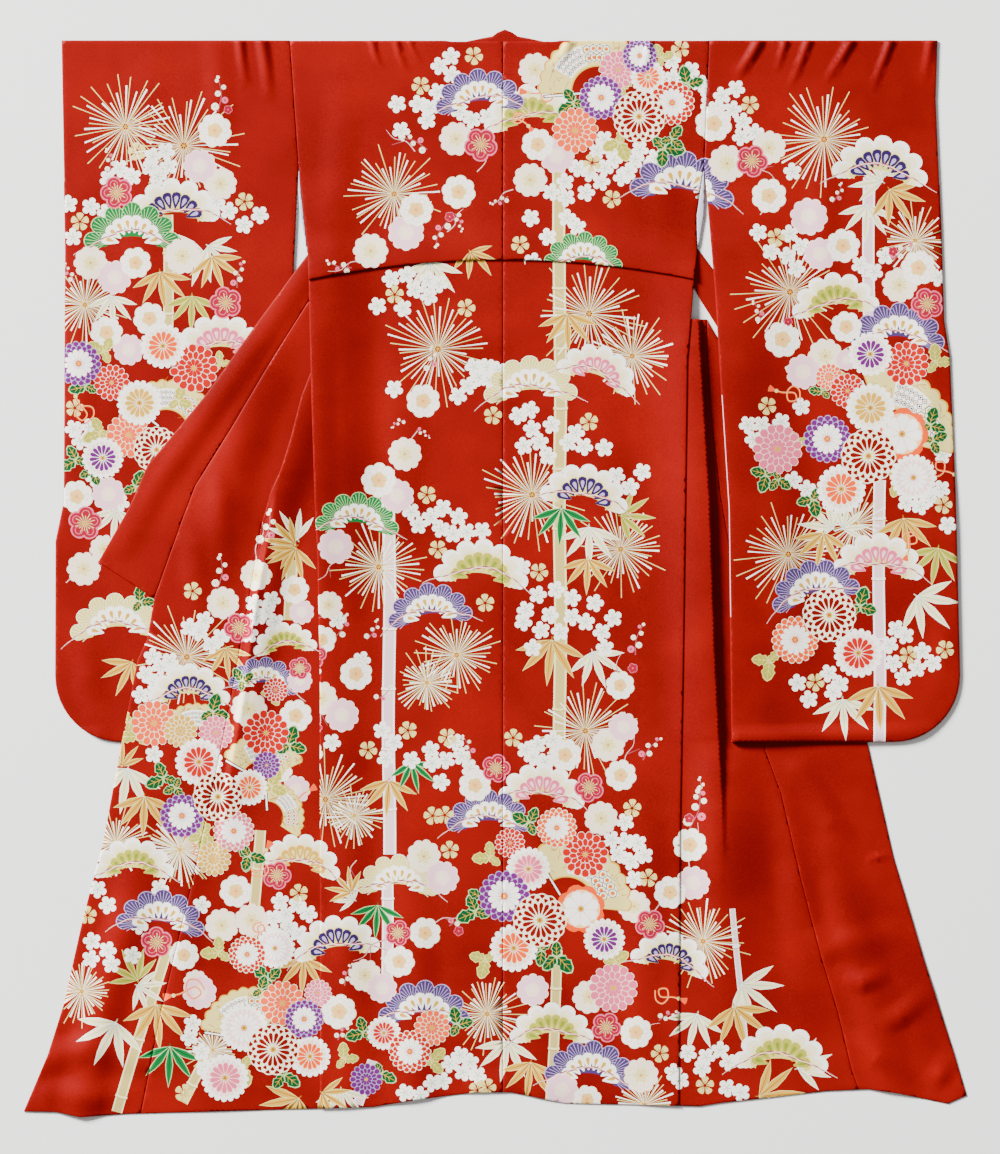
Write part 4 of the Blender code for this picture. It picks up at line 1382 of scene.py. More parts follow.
BACK = {
    Kind.STALK_KHAKI: [(90, 330, 20, 0, 790)],
    Kind.STALK_LILAC: [(-180, 678, 20, 0, 607)],
    Kind.BURST: [(-103, 487, 95, 4), (136, 431, 96), (204, 498, 78, 10), (46, 717, 92, 6),
        (186, 803, 80), (-196, 831, 84, 8), (-120, 1014, 60, 5), (-73, 970, 74), (130, 1090, 88, 4),
        (-280, 1198, 86, 6), (-235, 1224, 56)],
    Kind.BAMBOO_WHITE: [(-115, 349, 66, 172), (33, 314, 40, 172), (136, 768, 66, 178),
        (141, 965, 62, 165)],
    Kind.BAMBOO_GOLD: [(-52, 322, 60, 150), (101, 431, 62, 180), (134, 818, 58, 180), (77, 946, 74, 185),
        (-180, 1168, 60, 178)],
    Kind.BAMBOO_GREEN: [(186, 750, 56, 96)],
    Kind.BAMBOO_DEEP: [(92, 738, 62, 186), (-144, 1139, 52, 170)],
    Kind.SMALL: [(-177, 376), (-152, 370), (-139, 393), (-117, 404), (-101, 384), (-198, 419),
        (-158, 422), (-118, 378), (-172, 550), (-71, 561), (-46, 515), (-25, 515), (-38, 532),
        (-55, 545), (-22, 536), (-8, 520), (43, 583), (24, 592), (46, 613), (77, 607), (58, 634),
        (33, 640), (71, 656), (115, 619), (103, 635), (128, 641), (160, 643), (179, 687), (201, 705),
        (220, 681), (-145, 744), (-133, 765), (-114, 752), (-95, 738), (-70, 752), (-98, 771),
        (-79, 779), (-57, 776), (-33, 774), (30, 831), (55, 875), (84, 867), (36, 899), (109, 880),
        (145, 888), (74, 907), (109, 910), (131, 918), (156, 934), (174, 912), (90, 934), (60, 931),
        (47, 959), (161, 959), (32, 918), (-191, 1089), (-172, 1108), (-185, 1134), (-145, 1136),
        (-114, 1120), (-112, 1141), (-98, 1171), (-76, 1108), (-65, 1130), (-52, 1149), (-90, 1136),
        (55, 1111), (47, 1131), (66, 1139), (36, 1120), (79, 1104), (-270, 1108), (-261, 915),
        (-223, 978), (-300, 991)],
    Kind.SMALL_GOLD: [(-171, 401), (-58, 422), (-16, 592), (136, 602), (-120, 717), (-103, 803),
        (57, 839), (-28, 888), (-150, 1089), (-213, 1120), (-88, 1100), (-111, 1224), (204, 1212),
        (16, 1101), (-84, 1278)],
    Kind.PINE_STRAW: [(44, 566, 150, -2)],
    Kind.PINE_OLIVE: [(-36, 856, 152, 6)],
    Kind.PINE_PINK: [(144, 540, 132, 20), (60, 1204, 138, 6)],
    Kind.PINE_PURPLE_EYE: [(126, 733, 142, 10)],
    Kind.PINE_PURPLE: [(-114, 918, 136, -6), (-22, 1245, 136)],
    Kind.PINE_GREEN: [(-231, 774, 134, 4)],
    Kind.BRANCH: [(-134, 615, 66, 196), (-258, 820, 46, 220), (-273, 1041, 60, 200), (-305, 946, 70, 20),
        (193, 1152, 60, 20), (172, 1025, 60, 8), (-231, 1294, 40, 200)],
    Kind.TWIG: [(-118, 523, 40, 8), (-155, 599, 24, -120), (-137, 615, 24, 120), (-269, 946, 46, 30),
        (-215, 946, 36, 28), (221, 1136, 44, 40), (-51, 1136, 40, -18), (209, 970, 50, 15),
        (-302, 1152, 30, 160), (-202, 1041, 34, 50)],
    Kind.PLUM_CREAM: [(-155, 653, 27), (-288, 1038, 27), (166, 1112, 27), (155, 1228, 27),
        (-335, 1062, 25), (-275, 891, 22)],
    Kind.PLUM_PINK: [(-167, 719, 27), (-264, 799, 28), (-254, 1065, 27), (190, 1084, 24)],
    Kind.PLUM_WHITE: [(-126, 569, 27), (-196, 694, 28), (-232, 1000, 26), (-305, 1125, 21),
        (185, 1018, 23), (186, 1160, 25), (98, 1128, 26), (-44, 1176, 26), (-286, 946, 23)],
    Kind.PLUM_ROSE: [(-11, 1149, 23), (136, 1179, 24), (-300, 970, 22), (205, 991, 8), (-295, 1085, 10)],
}

SKIRT = {
    Kind.STALK_KHAKI: [(87, 1436, 16, 3, 253), (-529, 1428, 17, 17, 276), (-465, 1594, 16, 26, 92)],
    Kind.STALK_LILAC: [(-183, 1294, 18, 0, 205), (-207, 1610, 16, 18, 73), (363, 1370, 9, -5, 209)],
    Kind.BURST: [(-25, 1537, 70, 6), (316, 1422, 78, 4), (-665, 1501, 60), (-510, 1278, 60, 10),
        (224, 1680, 56, 5), (-458, 1594, 48)],
    Kind.BAMBOO_WHITE: [(376, 1490, 72, 130), (307, 1537, 62, 200), (-611, 1550, 76, 205),
        (8, 1580, 66, 195), (-256, 1656, 56, 180), (-578, 1492, 50, 118), (465, 1623, 60, 70),
        (-234, 1357, 36, -62)],
    Kind.BAMBOO_GOLD: [(365, 1525, 70, 165), (-547, 1522, 74, 175), (-314, 1449, 60, 180),
        (44, 1613, 62, 190), (-322, 1670, 70, 225), (404, 1667, 74, 90), (-239, 1345, 46, -40),
        (-286, 1661, 50, 120)],
    Kind.BAMBOO_GREEN: [(-577, 1484, 56, -20)],
    Kind.BAMBOO_DEEP: [(-526, 1588, 66, 178), (-198, 1365, 56, 185)],
    Kind.SMALL: [(193, 1234), (193, 1264), (213, 1267), (182, 1285), (202, 1296), (171, 1313),
        (207, 1324), (223, 1286), (172, 1262), (-640, 1340), (-624, 1365), (-476, 1365), (-649, 1422),
        (-624, 1436), (-618, 1458), (-651, 1450), (-585, 1444), (-574, 1397), (-352, 1359), (-343, 1379),
        (-363, 1386), (-338, 1400), (-307, 1379), (-325, 1365), (-362, 1408), (-321, 1411), (-490, 1552),
        (-495, 1574), (-476, 1597), (-471, 1623), (-84, 1616), (-63, 1629), (-95, 1643), (-52, 1613),
        (-112, 1646), (-40, 1634), (292, 1599), (321, 1605), (343, 1594), (314, 1623), (356, 1613),
        (269, 1629), (354, 1654), (376, 1661), (280, 1642), (-68, 1602), (-155, 1661), (-131, 1665),
        (-558, 1420), (-542, 1338)],
    Kind.SMALL_GOLD: [(229, 1322), (-656, 1381), (-322, 1346), (-504, 1662), (248, 1599), (319, 1650),
        (-40, 1657), (-25, 1653), (-92, 1223)],
    Kind.PINE_STRAW: [(-166, 1345, 132, 2)],
    Kind.PINE_OLIVE: [(-585, 1319, 132), (77, 1580, 134), (438, 1623, 152, 4)],
    Kind.PINE_YELLOW: [(-321, 1311, 128, 12)],
    Kind.PINE_PURPLE_EYE: [(-261, 1444, 138, -8), (261, 1465, 128, 14)],
    Kind.PINE_PURPLE: [(-542, 1405, 142, 6), (-125, 1550, 146, 2), (137, 1646, 148, 6)],
    Kind.BRANCH: [(295, 1310, 76, 16), (240, 1373, 50, 60), (-112, 1397, 56, 75), (-186, 1420, 60, -130),
        (201, 1571, 50, 60)],
    Kind.TWIG: [(295, 1243, 66, 14), (-85, 1398, 40, 70), (246, 1547, 34, 70), (-250, 1492, 36, 20),
        (307, 1199, 36, 6), (-261, 1578, 34, 40)],
    Kind.PLUM_CREAM: [(-444, 1397, 27), (-397, 1389, 27), (-125, 1288, 27), (-218, 1476, 26),
        (136, 1510, 27), (207, 1367, 26), (218, 1634, 28), (-485, 1487, 20)],
    Kind.PLUM_PINK: [(-96, 1322, 27), (-191, 1496, 24), (47, 1499, 26), (300, 1330, 27), (93, 1657, 27),
        (-479, 1503, 27)],
    Kind.PLUM_WHITE: [(-422, 1343, 26), (-504, 1444, 24), (-123, 1409, 25), (-164, 1454, 25),
        (-259, 1533, 28), (210, 1566, 26), (264, 1345, 26), (295, 1270, 27), (133, 1672, 23)],
    Kind.PLUM_ROSE: [(-357, 1318, 23), (-547, 1424, 25), (-166, 1409, 21), (232, 1395, 24),
        (163, 1558, 24), (294, 1228, 8), (-70, 1406, 8)],
    Kind.CORD: [(-397, 1318, 46, 30), (-471, 1499, 50, -100), (240, 1499, 40, 110), (-381, 1392, 30, 190)],
    Kind.FAN_LEAF: [(-397, 1578, 150, -16), (100, 1365, 184, 34)],
    Kind.LEAF_OLIVE: [(-28, 1452, 28, -120), (-411, 1623, 28, 210), (-449, 1439, 27, -50),
        (-112, 1612, 26, 90), (177, 1455, 24, 100), (-250, 1607, 24, 40), (-21, 1289, 26, -50),
        (-476, 1253, 26, 220)],
    Kind.LEAF_GREEN: [(41, 1234, 28, -20), (-44, 1375, 30, -70), (-33, 1352, 22, -20),
        (85, 1447, 32, 180), (60, 1436, 24, 230), (-371, 1482, 28), (-346, 1634, 28, 170),
        (-71, 1553, 27, 30), (-221, 1566, 27, -60), (-193, 1632, 25, 160), (-401, 1288, 26, 150),
        (-381, 1499, 22, 60)],
    Kind.CHRYS_PINK: [(174, 1496, 39), (-292, 1504, 22)],
    Kind.CHRYS_ORANGE: [(-348, 1520, 36), (-112, 1559, 29)],
    Kind.CHRYS_RED: [(130, 1285, 37), (11, 1267, 24)],
    Kind.CHRYS_PURPLE: [(-216, 1640, 26)],
    Kind.CHRYS_PEONY: [(123, 1371, 39)],
    Kind.CHRYS_WHITE_PALE: [(-360, 1433, 32), (-409, 1559, 38)],
    Kind.CHRYS_WHITE_PINK: [(40, 1308, 35), (-439, 1638, 38)],
    Kind.CHRYS_WHITE_ORANGE: [(17, 1433, 38), (-305, 1604, 33)],
    Kind.CHRYS_WHITE_PURPLE: [(160, 1419, 33)],
    Kind.CHRYS_WHITE_RED: [(-188, 1567, 27)],
    Kind.CHRYS_RING_ORANGE: [(85, 1243, 32)],
    Kind.CHRYS_RING_RED: [(-404, 1443, 30), (-147, 1596, 34)],
    Kind.CHRYS_RING_PURPLE: [(2, 1351, 41), (-314, 1545, 31)],
    Kind.CHRYS_LACE: [(58, 1389, 43), (-363, 1593, 41)],
}

LEFT_FRONT = {
    Kind.STALK_KHAKI: [(-333, 820, 18, 2, 95), (-384, 1247, 17, 4, 174)],
    Kind.BURST: [(-499, 973, 92, 4), (-611, 1267, 62, 8), (-510, 1277, 66, 3)],
    Kind.BAMBOO_WHITE: [(-324, 788, 54, -30), (-592, 1149, 74, 190)],
    Kind.BAMBOO_GOLD: [(-327, 796, 56, -78), (-327, 801, 56, 205), (-438, 959, 52, 180),
        (-566, 1193, 66, 178), (-602, 1146, 46, 4)],
    Kind.SMALL: [(-471, 915), (-479, 934), (-446, 942), (-460, 954), (-495, 926), (-553, 973),
        (-540, 988), (-564, 1000), (-526, 980), (-572, 1033), (-550, 1014), (-365, 883), (-373, 902),
        (-387, 910), (-359, 918), (-393, 888), (-551, 1127), (-517, 997), (-400, 937), (-408, 918)],
    Kind.SMALL_GOLD: [(-490, 869), (-378, 845)],
    Kind.PINE_OLIVE: [(-343, 965, 102, -6)],
    Kind.PINE_PURPLE_EYE: [(-496, 1044, 132, 2)],
    Kind.PINE_PURPLE: [(-378, 1025, 114, 6)],
    Kind.BRANCH: [(-389, 820, 60, 16)],
    Kind.TWIG: [(-450, 864, 52, 4), (-381, 796, 56, 14)],
    Kind.PLUM_CREAM: [(-442, 888, 26), (-390, 844, 25), (-401, 1055, 29)],
    Kind.PLUM_PINK: [(-318, 902, 20), (-321, 1010, 20), (-327, 1183, 23)],
    Kind.PLUM_WHITE: [(-329, 867, 23), (-327, 1066, 26), (-352, 1152, 20)],
    Kind.PLUM_ROSE: [(-417, 927, 24), (-321, 991, 18)],
    Kind.CORD: [(-346, 1207, 44, 60), (-471, 1291, 40, -40)],
    Kind.FAN_LEAF: [(-485, 1112, 118, 8), (-381, 1168, 130, 4), (-372, 1226, 104, 62)],
    Kind.LEAF_OLIVE: [(-578, 1097, 27, -50), (-476, 1251, 26, 190), (-365, 1177, 28, 70),
        (-365, 1032, 22, 100), (-589, 1076, 22, 10)],
    Kind.LEAF_GREEN: [(-458, 1060, 29, 60), (-536, 1164, 29, -70), (-337, 1112, 30, 60),
        (-517, 1180, 22, 200), (-411, 1010, 22, 10), (-403, 1291, 24, 140)],
    Kind.CHRYS_PINK: [(-453, 1093, 28)],
    Kind.CHRYS_ORANGE: [(-551, 1078, 37)],
    Kind.CHRYS_RED: [(-374, 1093, 37), (-359, 1025, 20)],
    Kind.CHRYS_PURPLE: [(-373, 1144, 22)],
    Kind.CHRYS_YELLOW: [(-509, 1090, 27), (-457, 1292, 28)],
    Kind.CHRYS_WHITE_ORANGE: [(-400, 1179, 29)],
    Kind.CHRYS_WHITE_RED: [(-480, 1139, 38)],
    Kind.CHRYS_RING_PINK: [(-425, 1248, 33)],
    Kind.CHRYS_RING_PURPLE: [(-507, 1224, 35)],
    Kind.CHRYS_LACE: [(-450, 1194, 40)],
}


# The pattern in its place

SMALL_RADIUS = 14.5             # size of a figure that names none
SEEDS = 97                      # the figures' seeds repeat after this many


class Pattern:
    """The dyed figures of some zones, as shapes in plan places."""

    def __init__(self, *zones: dict) -> None:
        """Places every figure of the zones, the lowest kinds first.

        Args:
            *zones: Tables of places for each kind.
        """
        self.shapes: list[Shape] = []
        for kind in Kind:
            for zone in zones:
                for spot in zone.get(kind, ()):
                    self.place(kind, *spot)

    def place(self, kind: Kind, x: float, down: float, size: float = SMALL_RADIUS, turn: float = 0.0,
              *extra: float) -> None:
        """Adds one figure.

        Args:
            kind: Which figure.
            x: Its place across the plan.
            down: Its place down the plan.
            size: Its size in mm.
            turn: Degrees clockwise, seen with the shoulders up.
            *extra: Its second length, where it has one.
        """
        seed = int(abs(x) * 7 + abs(down) * 3) % SEEDS
        for dye, points in kind.value.shapes(size, seed, *extra):
            across, up = turned(np.asarray(points, float), turn).T
            self.shapes.append((dye, np.column_stack((x + across, down - up))))

    def on(self, loop: np.ndarray) -> list[Shape]:
        """The shapes that touch the cloth inside an outline.

        Args:
            loop: The outline.

        Returns:
            The shapes, the lowest first.
        """
        if not self.shapes:
            return []
        ends = np.cumsum([len(points) for _, points in self.shapes])
        inside = within(np.vstack([points for _, points in self.shapes]), loop)
        return [shape for shape, part in zip(self.shapes, np.split(inside, ends[:-1])) if part.any()]


# Plan geometry

def within(points: np.ndarray, loop: np.ndarray) -> np.ndarray:
    """Whether each point lies inside an outline.

    Args:
        points: The points.
        loop: The outline.

    Returns:
        True for those inside.
    """
    x, down = points.T
    inside = np.zeros(len(points), bool)
    for (ax, ad), (bx, bd) in zip(loop, np.roll(loop, -1, axis=0)):
        if ad != bd:
            inside ^= ((ad > down) != (bd > down)) & (x < (bx - ax) * (down - ad) / (bd - ad) + ax)
    return inside


def densified(loop: np.ndarray, step: float) -> np.ndarray:
    """A closed outline with spots no further apart than step.

    Args:
        loop: The outline.
        step: The widest spacing.

    Returns:
        Its spots, with the old ones kept.
    """
    out = []
    for a, b in zip(loop, np.roll(loop, -1, axis=0)):
        length = math.dist(a, b)
        if length < SAME_SPOT:
            continue
        count = max(math.ceil(length / step), 1)
        out += [a + (b - a) * k / count for k in range(count)]
    return np.array(out)


def following(shapes: Sequence[Shape], height: Level) -> list[Shape]:
    """The same shapes, with more spots on an outline where the cloth bends under it.

    Args:
        shapes: The shapes.
        height: The height of the cloth.

    Returns:
        The shapes in the same order.
    """
    if not shapes:
        return []
    spots = np.vstack([points for _, points in shapes])
    ahead = np.vstack([np.roll(points, -1, axis=0) for _, points in shapes])
    bend = np.abs(height(*((spots + ahead) / 2).T) - (height(*spots.T) + height(*ahead.T)) / 2)
    ends = np.cumsum([len(points) for _, points in shapes])
    bent = [part.max() > FIGURE_BEND for part in np.split(bend, ends[:-1])]
    return [(dye, densified(points, BENT_STEP) if more else points)
            for (dye, points), more in zip(shapes, bent)]


class Rim:
    """The outline of a sheet, for distances to it."""

    def __init__(self, loop: np.ndarray) -> None:
        """Samples the outline closely.

        Args:
            loop: The outline.
        """
        self.samples = densified(loop, RIM_STEP)
        self.tree = KDTree(len(self.samples))
        for index, (x, down) in enumerate(self.samples):
            self.tree.insert((x, down, 0), index)
        self.tree.balance()

    def distance(self, points: np.ndarray) -> np.ndarray:
        """How far each point lies from the outline, in mm.

        Args:
            points: The points.

        Returns:
            Their distances.
        """
        near = np.array([self.tree.find((x, down, 0))[1] for x, down in points])
        best = np.full(len(points), np.inf)
        for a, b in ((near - 1, near), (near, (near + 1) % len(self.samples))):
            start, run = self.samples[a], self.samples[b] - self.samples[a]
            share = np.clip(((points - start) * run).sum(1) / ((run * run).sum(1) + 1e-9), 0, 1)
            best = np.minimum(best, np.linalg.norm(points - start - share[:, None] * run, axis=1))
        return best


def inner_points(loop: np.ndarray, height: Level, coarse: bool) -> np.ndarray:
    """Points inside an outline for the faces of a sheet, closer together where the cloth bends.

    Args:
        loop: The outline.
        height: The height of the sheet.
        coarse: Whether level parts may have points 18 mm apart, or 9 mm.

    Returns:
        The points, clear of the outline.
    """
    low, high = loop.min(0), loop.max(0)
    rows = np.arange(int((high[1] - low[1]) / (GRID * ROWS)) + 1)
    columns = np.arange(int((high[0] - low[0]) / GRID) + 2)
    row, column = (grid.ravel() for grid in np.meshgrid(rows, columns, indexing="ij"))
    column = column - row // 2
    points = np.column_stack((low[0] + (column + row / 2) * GRID, low[1] + row * GRID * ROWS))
    x, down = points.T
    reach, level = 2 * GRID, 2 * height(x, down)
    bend = np.maximum(np.abs(height(x + reach, down) + height(x - reach, down) - level),
                      np.abs(height(x, down + reach) + height(x, down - reach) - level))
    halved = (row % 2 == 0) & (column % 2 == 0)
    keep = (bend > SHARP_BEND) | (halved & ((bend > SOFT_BEND) | (not coarse)))
    keep |= (row % 4 == 0) & (column % 4 == 0)
    points = points[keep]
    points = points[within(points, loop)]
    rim = Rim(loop)
    if len(points):
        points = points[rim.distance(points) > CLEAR_OF_RIM]
    if coarse:
        return points
    edge = np.roll(loop, -1, axis=0) - np.roll(loop, 1, axis=0)
    normal = np.column_stack((edge[:, 1], -edge[:, 0])) / (np.linalg.norm(edge, axis=1)[:, None] + 1e-9)
    insets = np.vstack([loop + side * reach * normal for side in (-1, 1) for reach in INSETS])
    reach = np.tile(np.repeat(INSETS, len(loop)), 2)
    good = within(insets, loop)
    good[good] = rim.distance(insets[good]) > 0.85 * reach[good]
    return np.vstack((points, insets[good]))


@dataclass
class Sheet:
    """One side of a cloth wall.

    Attributes:
        points: (x, down) of each vertex.
        triangles: Vertex numbers of each face, facing up.
        dyes: The dye of each face.
        loop: The boundary's vertex numbers, counter-clockwise from above.
    """

    points: np.ndarray
    triangles: np.ndarray
    dyes: list
    loop: np.ndarray


def cut_sheet(loop: np.ndarray, inner: np.ndarray, shapes: Sequence[Shape], ground: Dye) -> Sheet:
    """Cuts an outline into triangles along every dyed shape.

    Args:
        loop: The outline.
        inner: Further points inside it.
        shapes: Dyed shapes, the lowest first.
        ground: The dye of the rest.

    Returns:
        The sheet, each face with the dye of the topmost shape over it.
    """
    points, faces, areas = [tuple(p) for p in inner * (1, -1)], [], []
    for outline in (loop, *[points for _, points in shapes]):
        outline = outline * (1, -1)
        areas.append(area_of(outline))
        if areas[-1] < 0:
            outline = outline[::-1]
        faces.append(list(range(len(points), len(points) + len(outline))))
        points += [tuple(p) for p in outline]
    found, _, triangles, _, _, owners = delaunay_2d_cdt(points, [], faces, 0, WELD, True)
    plan, triangles = np.array([tuple(p) for p in found]) * (1, -1), np.array([list(t) for t in triangles])
    a, b, c = (plan[triangles[:, k]] for k in range(3))
    turn = (b[:, 0] - a[:, 0]) * (c[:, 1] - a[:, 1]) - (b[:, 1] - a[:, 1]) * (c[:, 0] - a[:, 0])
    triangles[turn > 0] = triangles[turn > 0][:, ::-1]
    top = topmost(owners, np.abs(turn) / 2, np.abs(areas), (a + b + c) / 3, (loop, *[p for _, p in shapes]))
    triangles, top = triangles[top >= 0], top[top >= 0]
    used, flat = np.unique(triangles, return_inverse=True)
    triangles = flat.reshape(triangles.shape)
    dyes = [ground if shape == 0 else shapes[shape - 1][0] for shape in top]
    return Sheet(plan[used], triangles, dyes, boundary(triangles))


def area_of(outline: np.ndarray) -> float:
    """The area inside an outline, positive when it runs counter-clockwise."""
    ahead = np.roll(outline, -1, axis=0)
    return 0.5 * float((outline[:, 0] * ahead[:, 1] - ahead[:, 0] * outline[:, 1]).sum())


def topmost(owners: Sequence[Sequence[int]], sizes: np.ndarray, areas: np.ndarray, middles: np.ndarray,
            outlines: Sequence[np.ndarray]) -> np.ndarray:
    """The topmost outline over each triangle, with doubtful outlines tested again at its middle.

    Args:
        owners: The outlines found over each triangle.
        sizes: The triangles' areas.
        areas: The outlines' areas.
        middles: The triangles' middles.
        outlines: The outlines, the first of which is the cloth's own.

    Returns:
        An outline's number for each triangle, or -1 outside the cloth.
    """
    face = np.repeat(np.arange(len(owners)), [len(owner) for owner in owners])
    shape = np.array([number for owner in owners for number in owner], int)
    owned = np.bincount(shape, sizes[face], len(outlines))
    # An outline is doubtful when its triangles add up to another area than its own.
    doubtful = np.abs(owned - areas) > 0.1 * areas + 1
    top = np.full(len(owners), -1)
    clear = ~doubtful[shape]
    np.maximum.at(top, face[clear], shape[clear])
    cloth = np.zeros(len(owners), bool)
    cloth[face[shape == 0]] = True
    for number in np.flatnonzero(doubtful):
        low, high = outlines[number].min(0), outlines[number].max(0)
        near = np.flatnonzero(((middles > low) & (middles < high)).all(1))
        near = near[within(middles[near], outlines[number])]
        top[near] = np.maximum(top[near], number)
    return np.where(cloth, top, -1)


def boundary(triangles: np.ndarray) -> np.ndarray:
    """The vertex numbers round the longest boundary of some triangles.

    Args:
        triangles: Vertex numbers of each triangle.

    Returns:
        The numbers, in the triangles' own sense.
    """
    edges = np.vstack((triangles[:, :2], triangles[:, 1:], triangles[:, [2, 0]]))
    both = {(a, b) for a, b in edges.tolist()}
    ahead = {a: b for a, b in both if (b, a) not in both}
    best: list[int] = []
    while ahead:
        spot, chain = next(iter(ahead)), []
        while spot in ahead:
            chain.append(spot)
            spot = ahead.pop(spot)
        best = max(best, chain, key=len)
    return np.array(best)


def facing(height: Level, points: np.ndarray) -> np.ndarray:
    """Upward normals of a height over the plan.

    Args:
        height: The height.
        points: Where to read it.

    Returns:
        A unit normal for each point.
    """
    x, down = points.T
    across = height(x + 0.5, down) - height(x - 0.5, down)
    along = height(x, down + 0.5) - height(x, down - 0.5)
    normals = np.column_stack((-across, along, np.ones(len(points))))
    return normals / np.linalg.norm(normals, axis=1)[:, None]


class ClothMesh:
    """The mesh of one piece while its sheets are added and sewn together."""

    def __init__(self) -> None:
        """Starts with nothing."""
        self.spots: list[np.ndarray] = []
        self.normals: list[np.ndarray] = []
        self.faces: list[list[int]] = []
        self.dyes: list[Dye] = []
        self.count = 0

    def vertices(self, plan: np.ndarray, height: np.ndarray,
                 normals: Optional[np.ndarray] = None) -> np.ndarray:
        """Adds vertices.

        Args:
            plan: Their places in the plan.
            height: Their heights.
            normals: Their normals, or None for those of the faces.

        Returns:
            Their numbers.
        """
        x, down = plan.T
        self.spots.append(np.column_stack((x - CENTRE_X, CENTRE_DOWN - down, height)) * METRES)
        self.normals.append(np.zeros((len(plan), 3)) if normals is None else normals)
        self.count += len(plan)
        return np.arange(self.count - len(plan), self.count)

    def printed(self, sheet: Sheet, height: Level, rim: Rim) -> np.ndarray:
        """Adds an upper sheet whose edge turns down softly.

        Args:
            sheet: The cut sheet.
            height: Its height.
            rim: Its outline.

        Returns:
            The numbers of its boundary vertices.
        """
        far = rim.distance(sheet.points)
        drop = WALL / 2 * np.clip(1 - far / ROUNDING, 0, 1) ** 2
        normals = facing(height, sheet.points)
        normals[far < ROUNDING + SOFT_RIM] = 0
        ids = self.vertices(sheet.points, height(*sheet.points.T) - drop, normals)
        self.faces += ids[sheet.triangles].tolist()
        self.dyes += sheet.dyes
        return ids[sheet.loop]

    def plain(self, sheet: Sheet, height: Level, first: np.ndarray, up: bool = False) -> np.ndarray:
        """Adds an undyed sheet.

        Args:
            sheet: The cut sheet.
            height: Its height.
            first: The plan place where its boundary begins.
            up: Whether it faces up.

        Returns:
            The numbers of its boundary vertices.
        """
        ids = self.vertices(sheet.points, height(*sheet.points.T))
        triangles = sheet.triangles if up else sheet.triangles[:, ::-1]
        self.faces += ids[triangles].tolist()
        self.dyes += sheet.dyes
        begin = np.linalg.norm(sheet.points[sheet.loop] - first, axis=1).argmin()
        return ids[np.roll(sheet.loop, -begin)]

    def sew(self, upper: np.ndarray, lower: np.ndarray, dye: Dye, where: Optional[np.ndarray] = None) -> None:
        """Joins two boundaries of the same plan with quads that face outwards.

        Args:
            upper: Vertex numbers of the upper boundary.
            lower: Vertex numbers of the lower one.
            dye: The dye of the quads.
            where: Which edges to join, or all of them.
        """
        for k in range(len(upper)) if where is None else np.flatnonzero(where):
            n = (k + 1) % len(upper)
            self.faces.append([int(upper[n]), int(upper[k]), int(lower[k]), int(lower[n])])
            self.dyes.append(dye)

    def to_object(self, name: str, finishes: "Wardrobe") -> bpy.types.Object:
        """Makes the object, with one material for each dye on it.

        Args:
            name: The object's name.
            finishes: Where its materials come from.

        Returns:
            The object, at the origin.
        """
        mesh = bpy.data.meshes.new(name)
        mesh.from_pydata(np.vstack(self.spots).tolist(), [], self.faces)
        used = sorted(set(self.dyes), key=lambda dye: list(Dye).index(dye))
        for dye in used:
            mesh.materials.append(finishes.material(dye))
        number = {dye: index for index, dye in enumerate(used)}
        mesh.polygons.foreach_set("material_index", [number[dye] for dye in self.dyes])
        mesh.shade_smooth()
        mesh.normals_split_custom_set_from_vertices(np.vstack(self.normals).tolist())
        mesh.validate()
        piece = bpy.data.objects.new(name, mesh)
        bpy.context.scene.collection.objects.link(piece)
        return piece


# Finishes

SILK_IOR = 1.54
GLOSS_SPREAD = 0.07             # how far roughness goes to each side of its middle


def linear(hex_colour: str) -> tuple:
    """A linear colour with alpha from an sRGB hex value."""
    parts = [int(hex_colour[at:at + 2], 16) / 255 for at in (1, 3, 5)]
    return (*[p / 12.92 if p <= 0.04045 else ((p + 0.055) / 1.055) ** 2.4 for p in parts], 1.0)


def fill(node: bpy.types.Node, inputs: dict) -> None:
    """Fills a node's inputs.

    Args:
        node: The node.
        inputs: A value or an output socket for each input's name or number.
    """
    for name, value in inputs.items():
        if isinstance(value, bpy.types.NodeSocket):
            node.id_data.links.new(value, node.inputs[name])
        else:
            node.inputs[name].default_value = value


def add_node(tree: bpy.types.NodeTree, kind: str, settings: Optional[dict] = None,
             inputs: Optional[dict] = None) -> bpy.types.Node:
    """Adds a node with its settings and inputs.

    Args:
        tree: The material's node tree.
        kind: The node's type.
        settings: Its properties by name.
        inputs: What fills its inputs.

    Returns:
        The node.
    """
    node = tree.nodes.new(kind)
    for name, value in (settings or {}).items():
        setattr(node, name, value)
    fill(node, inputs or {})
    return node


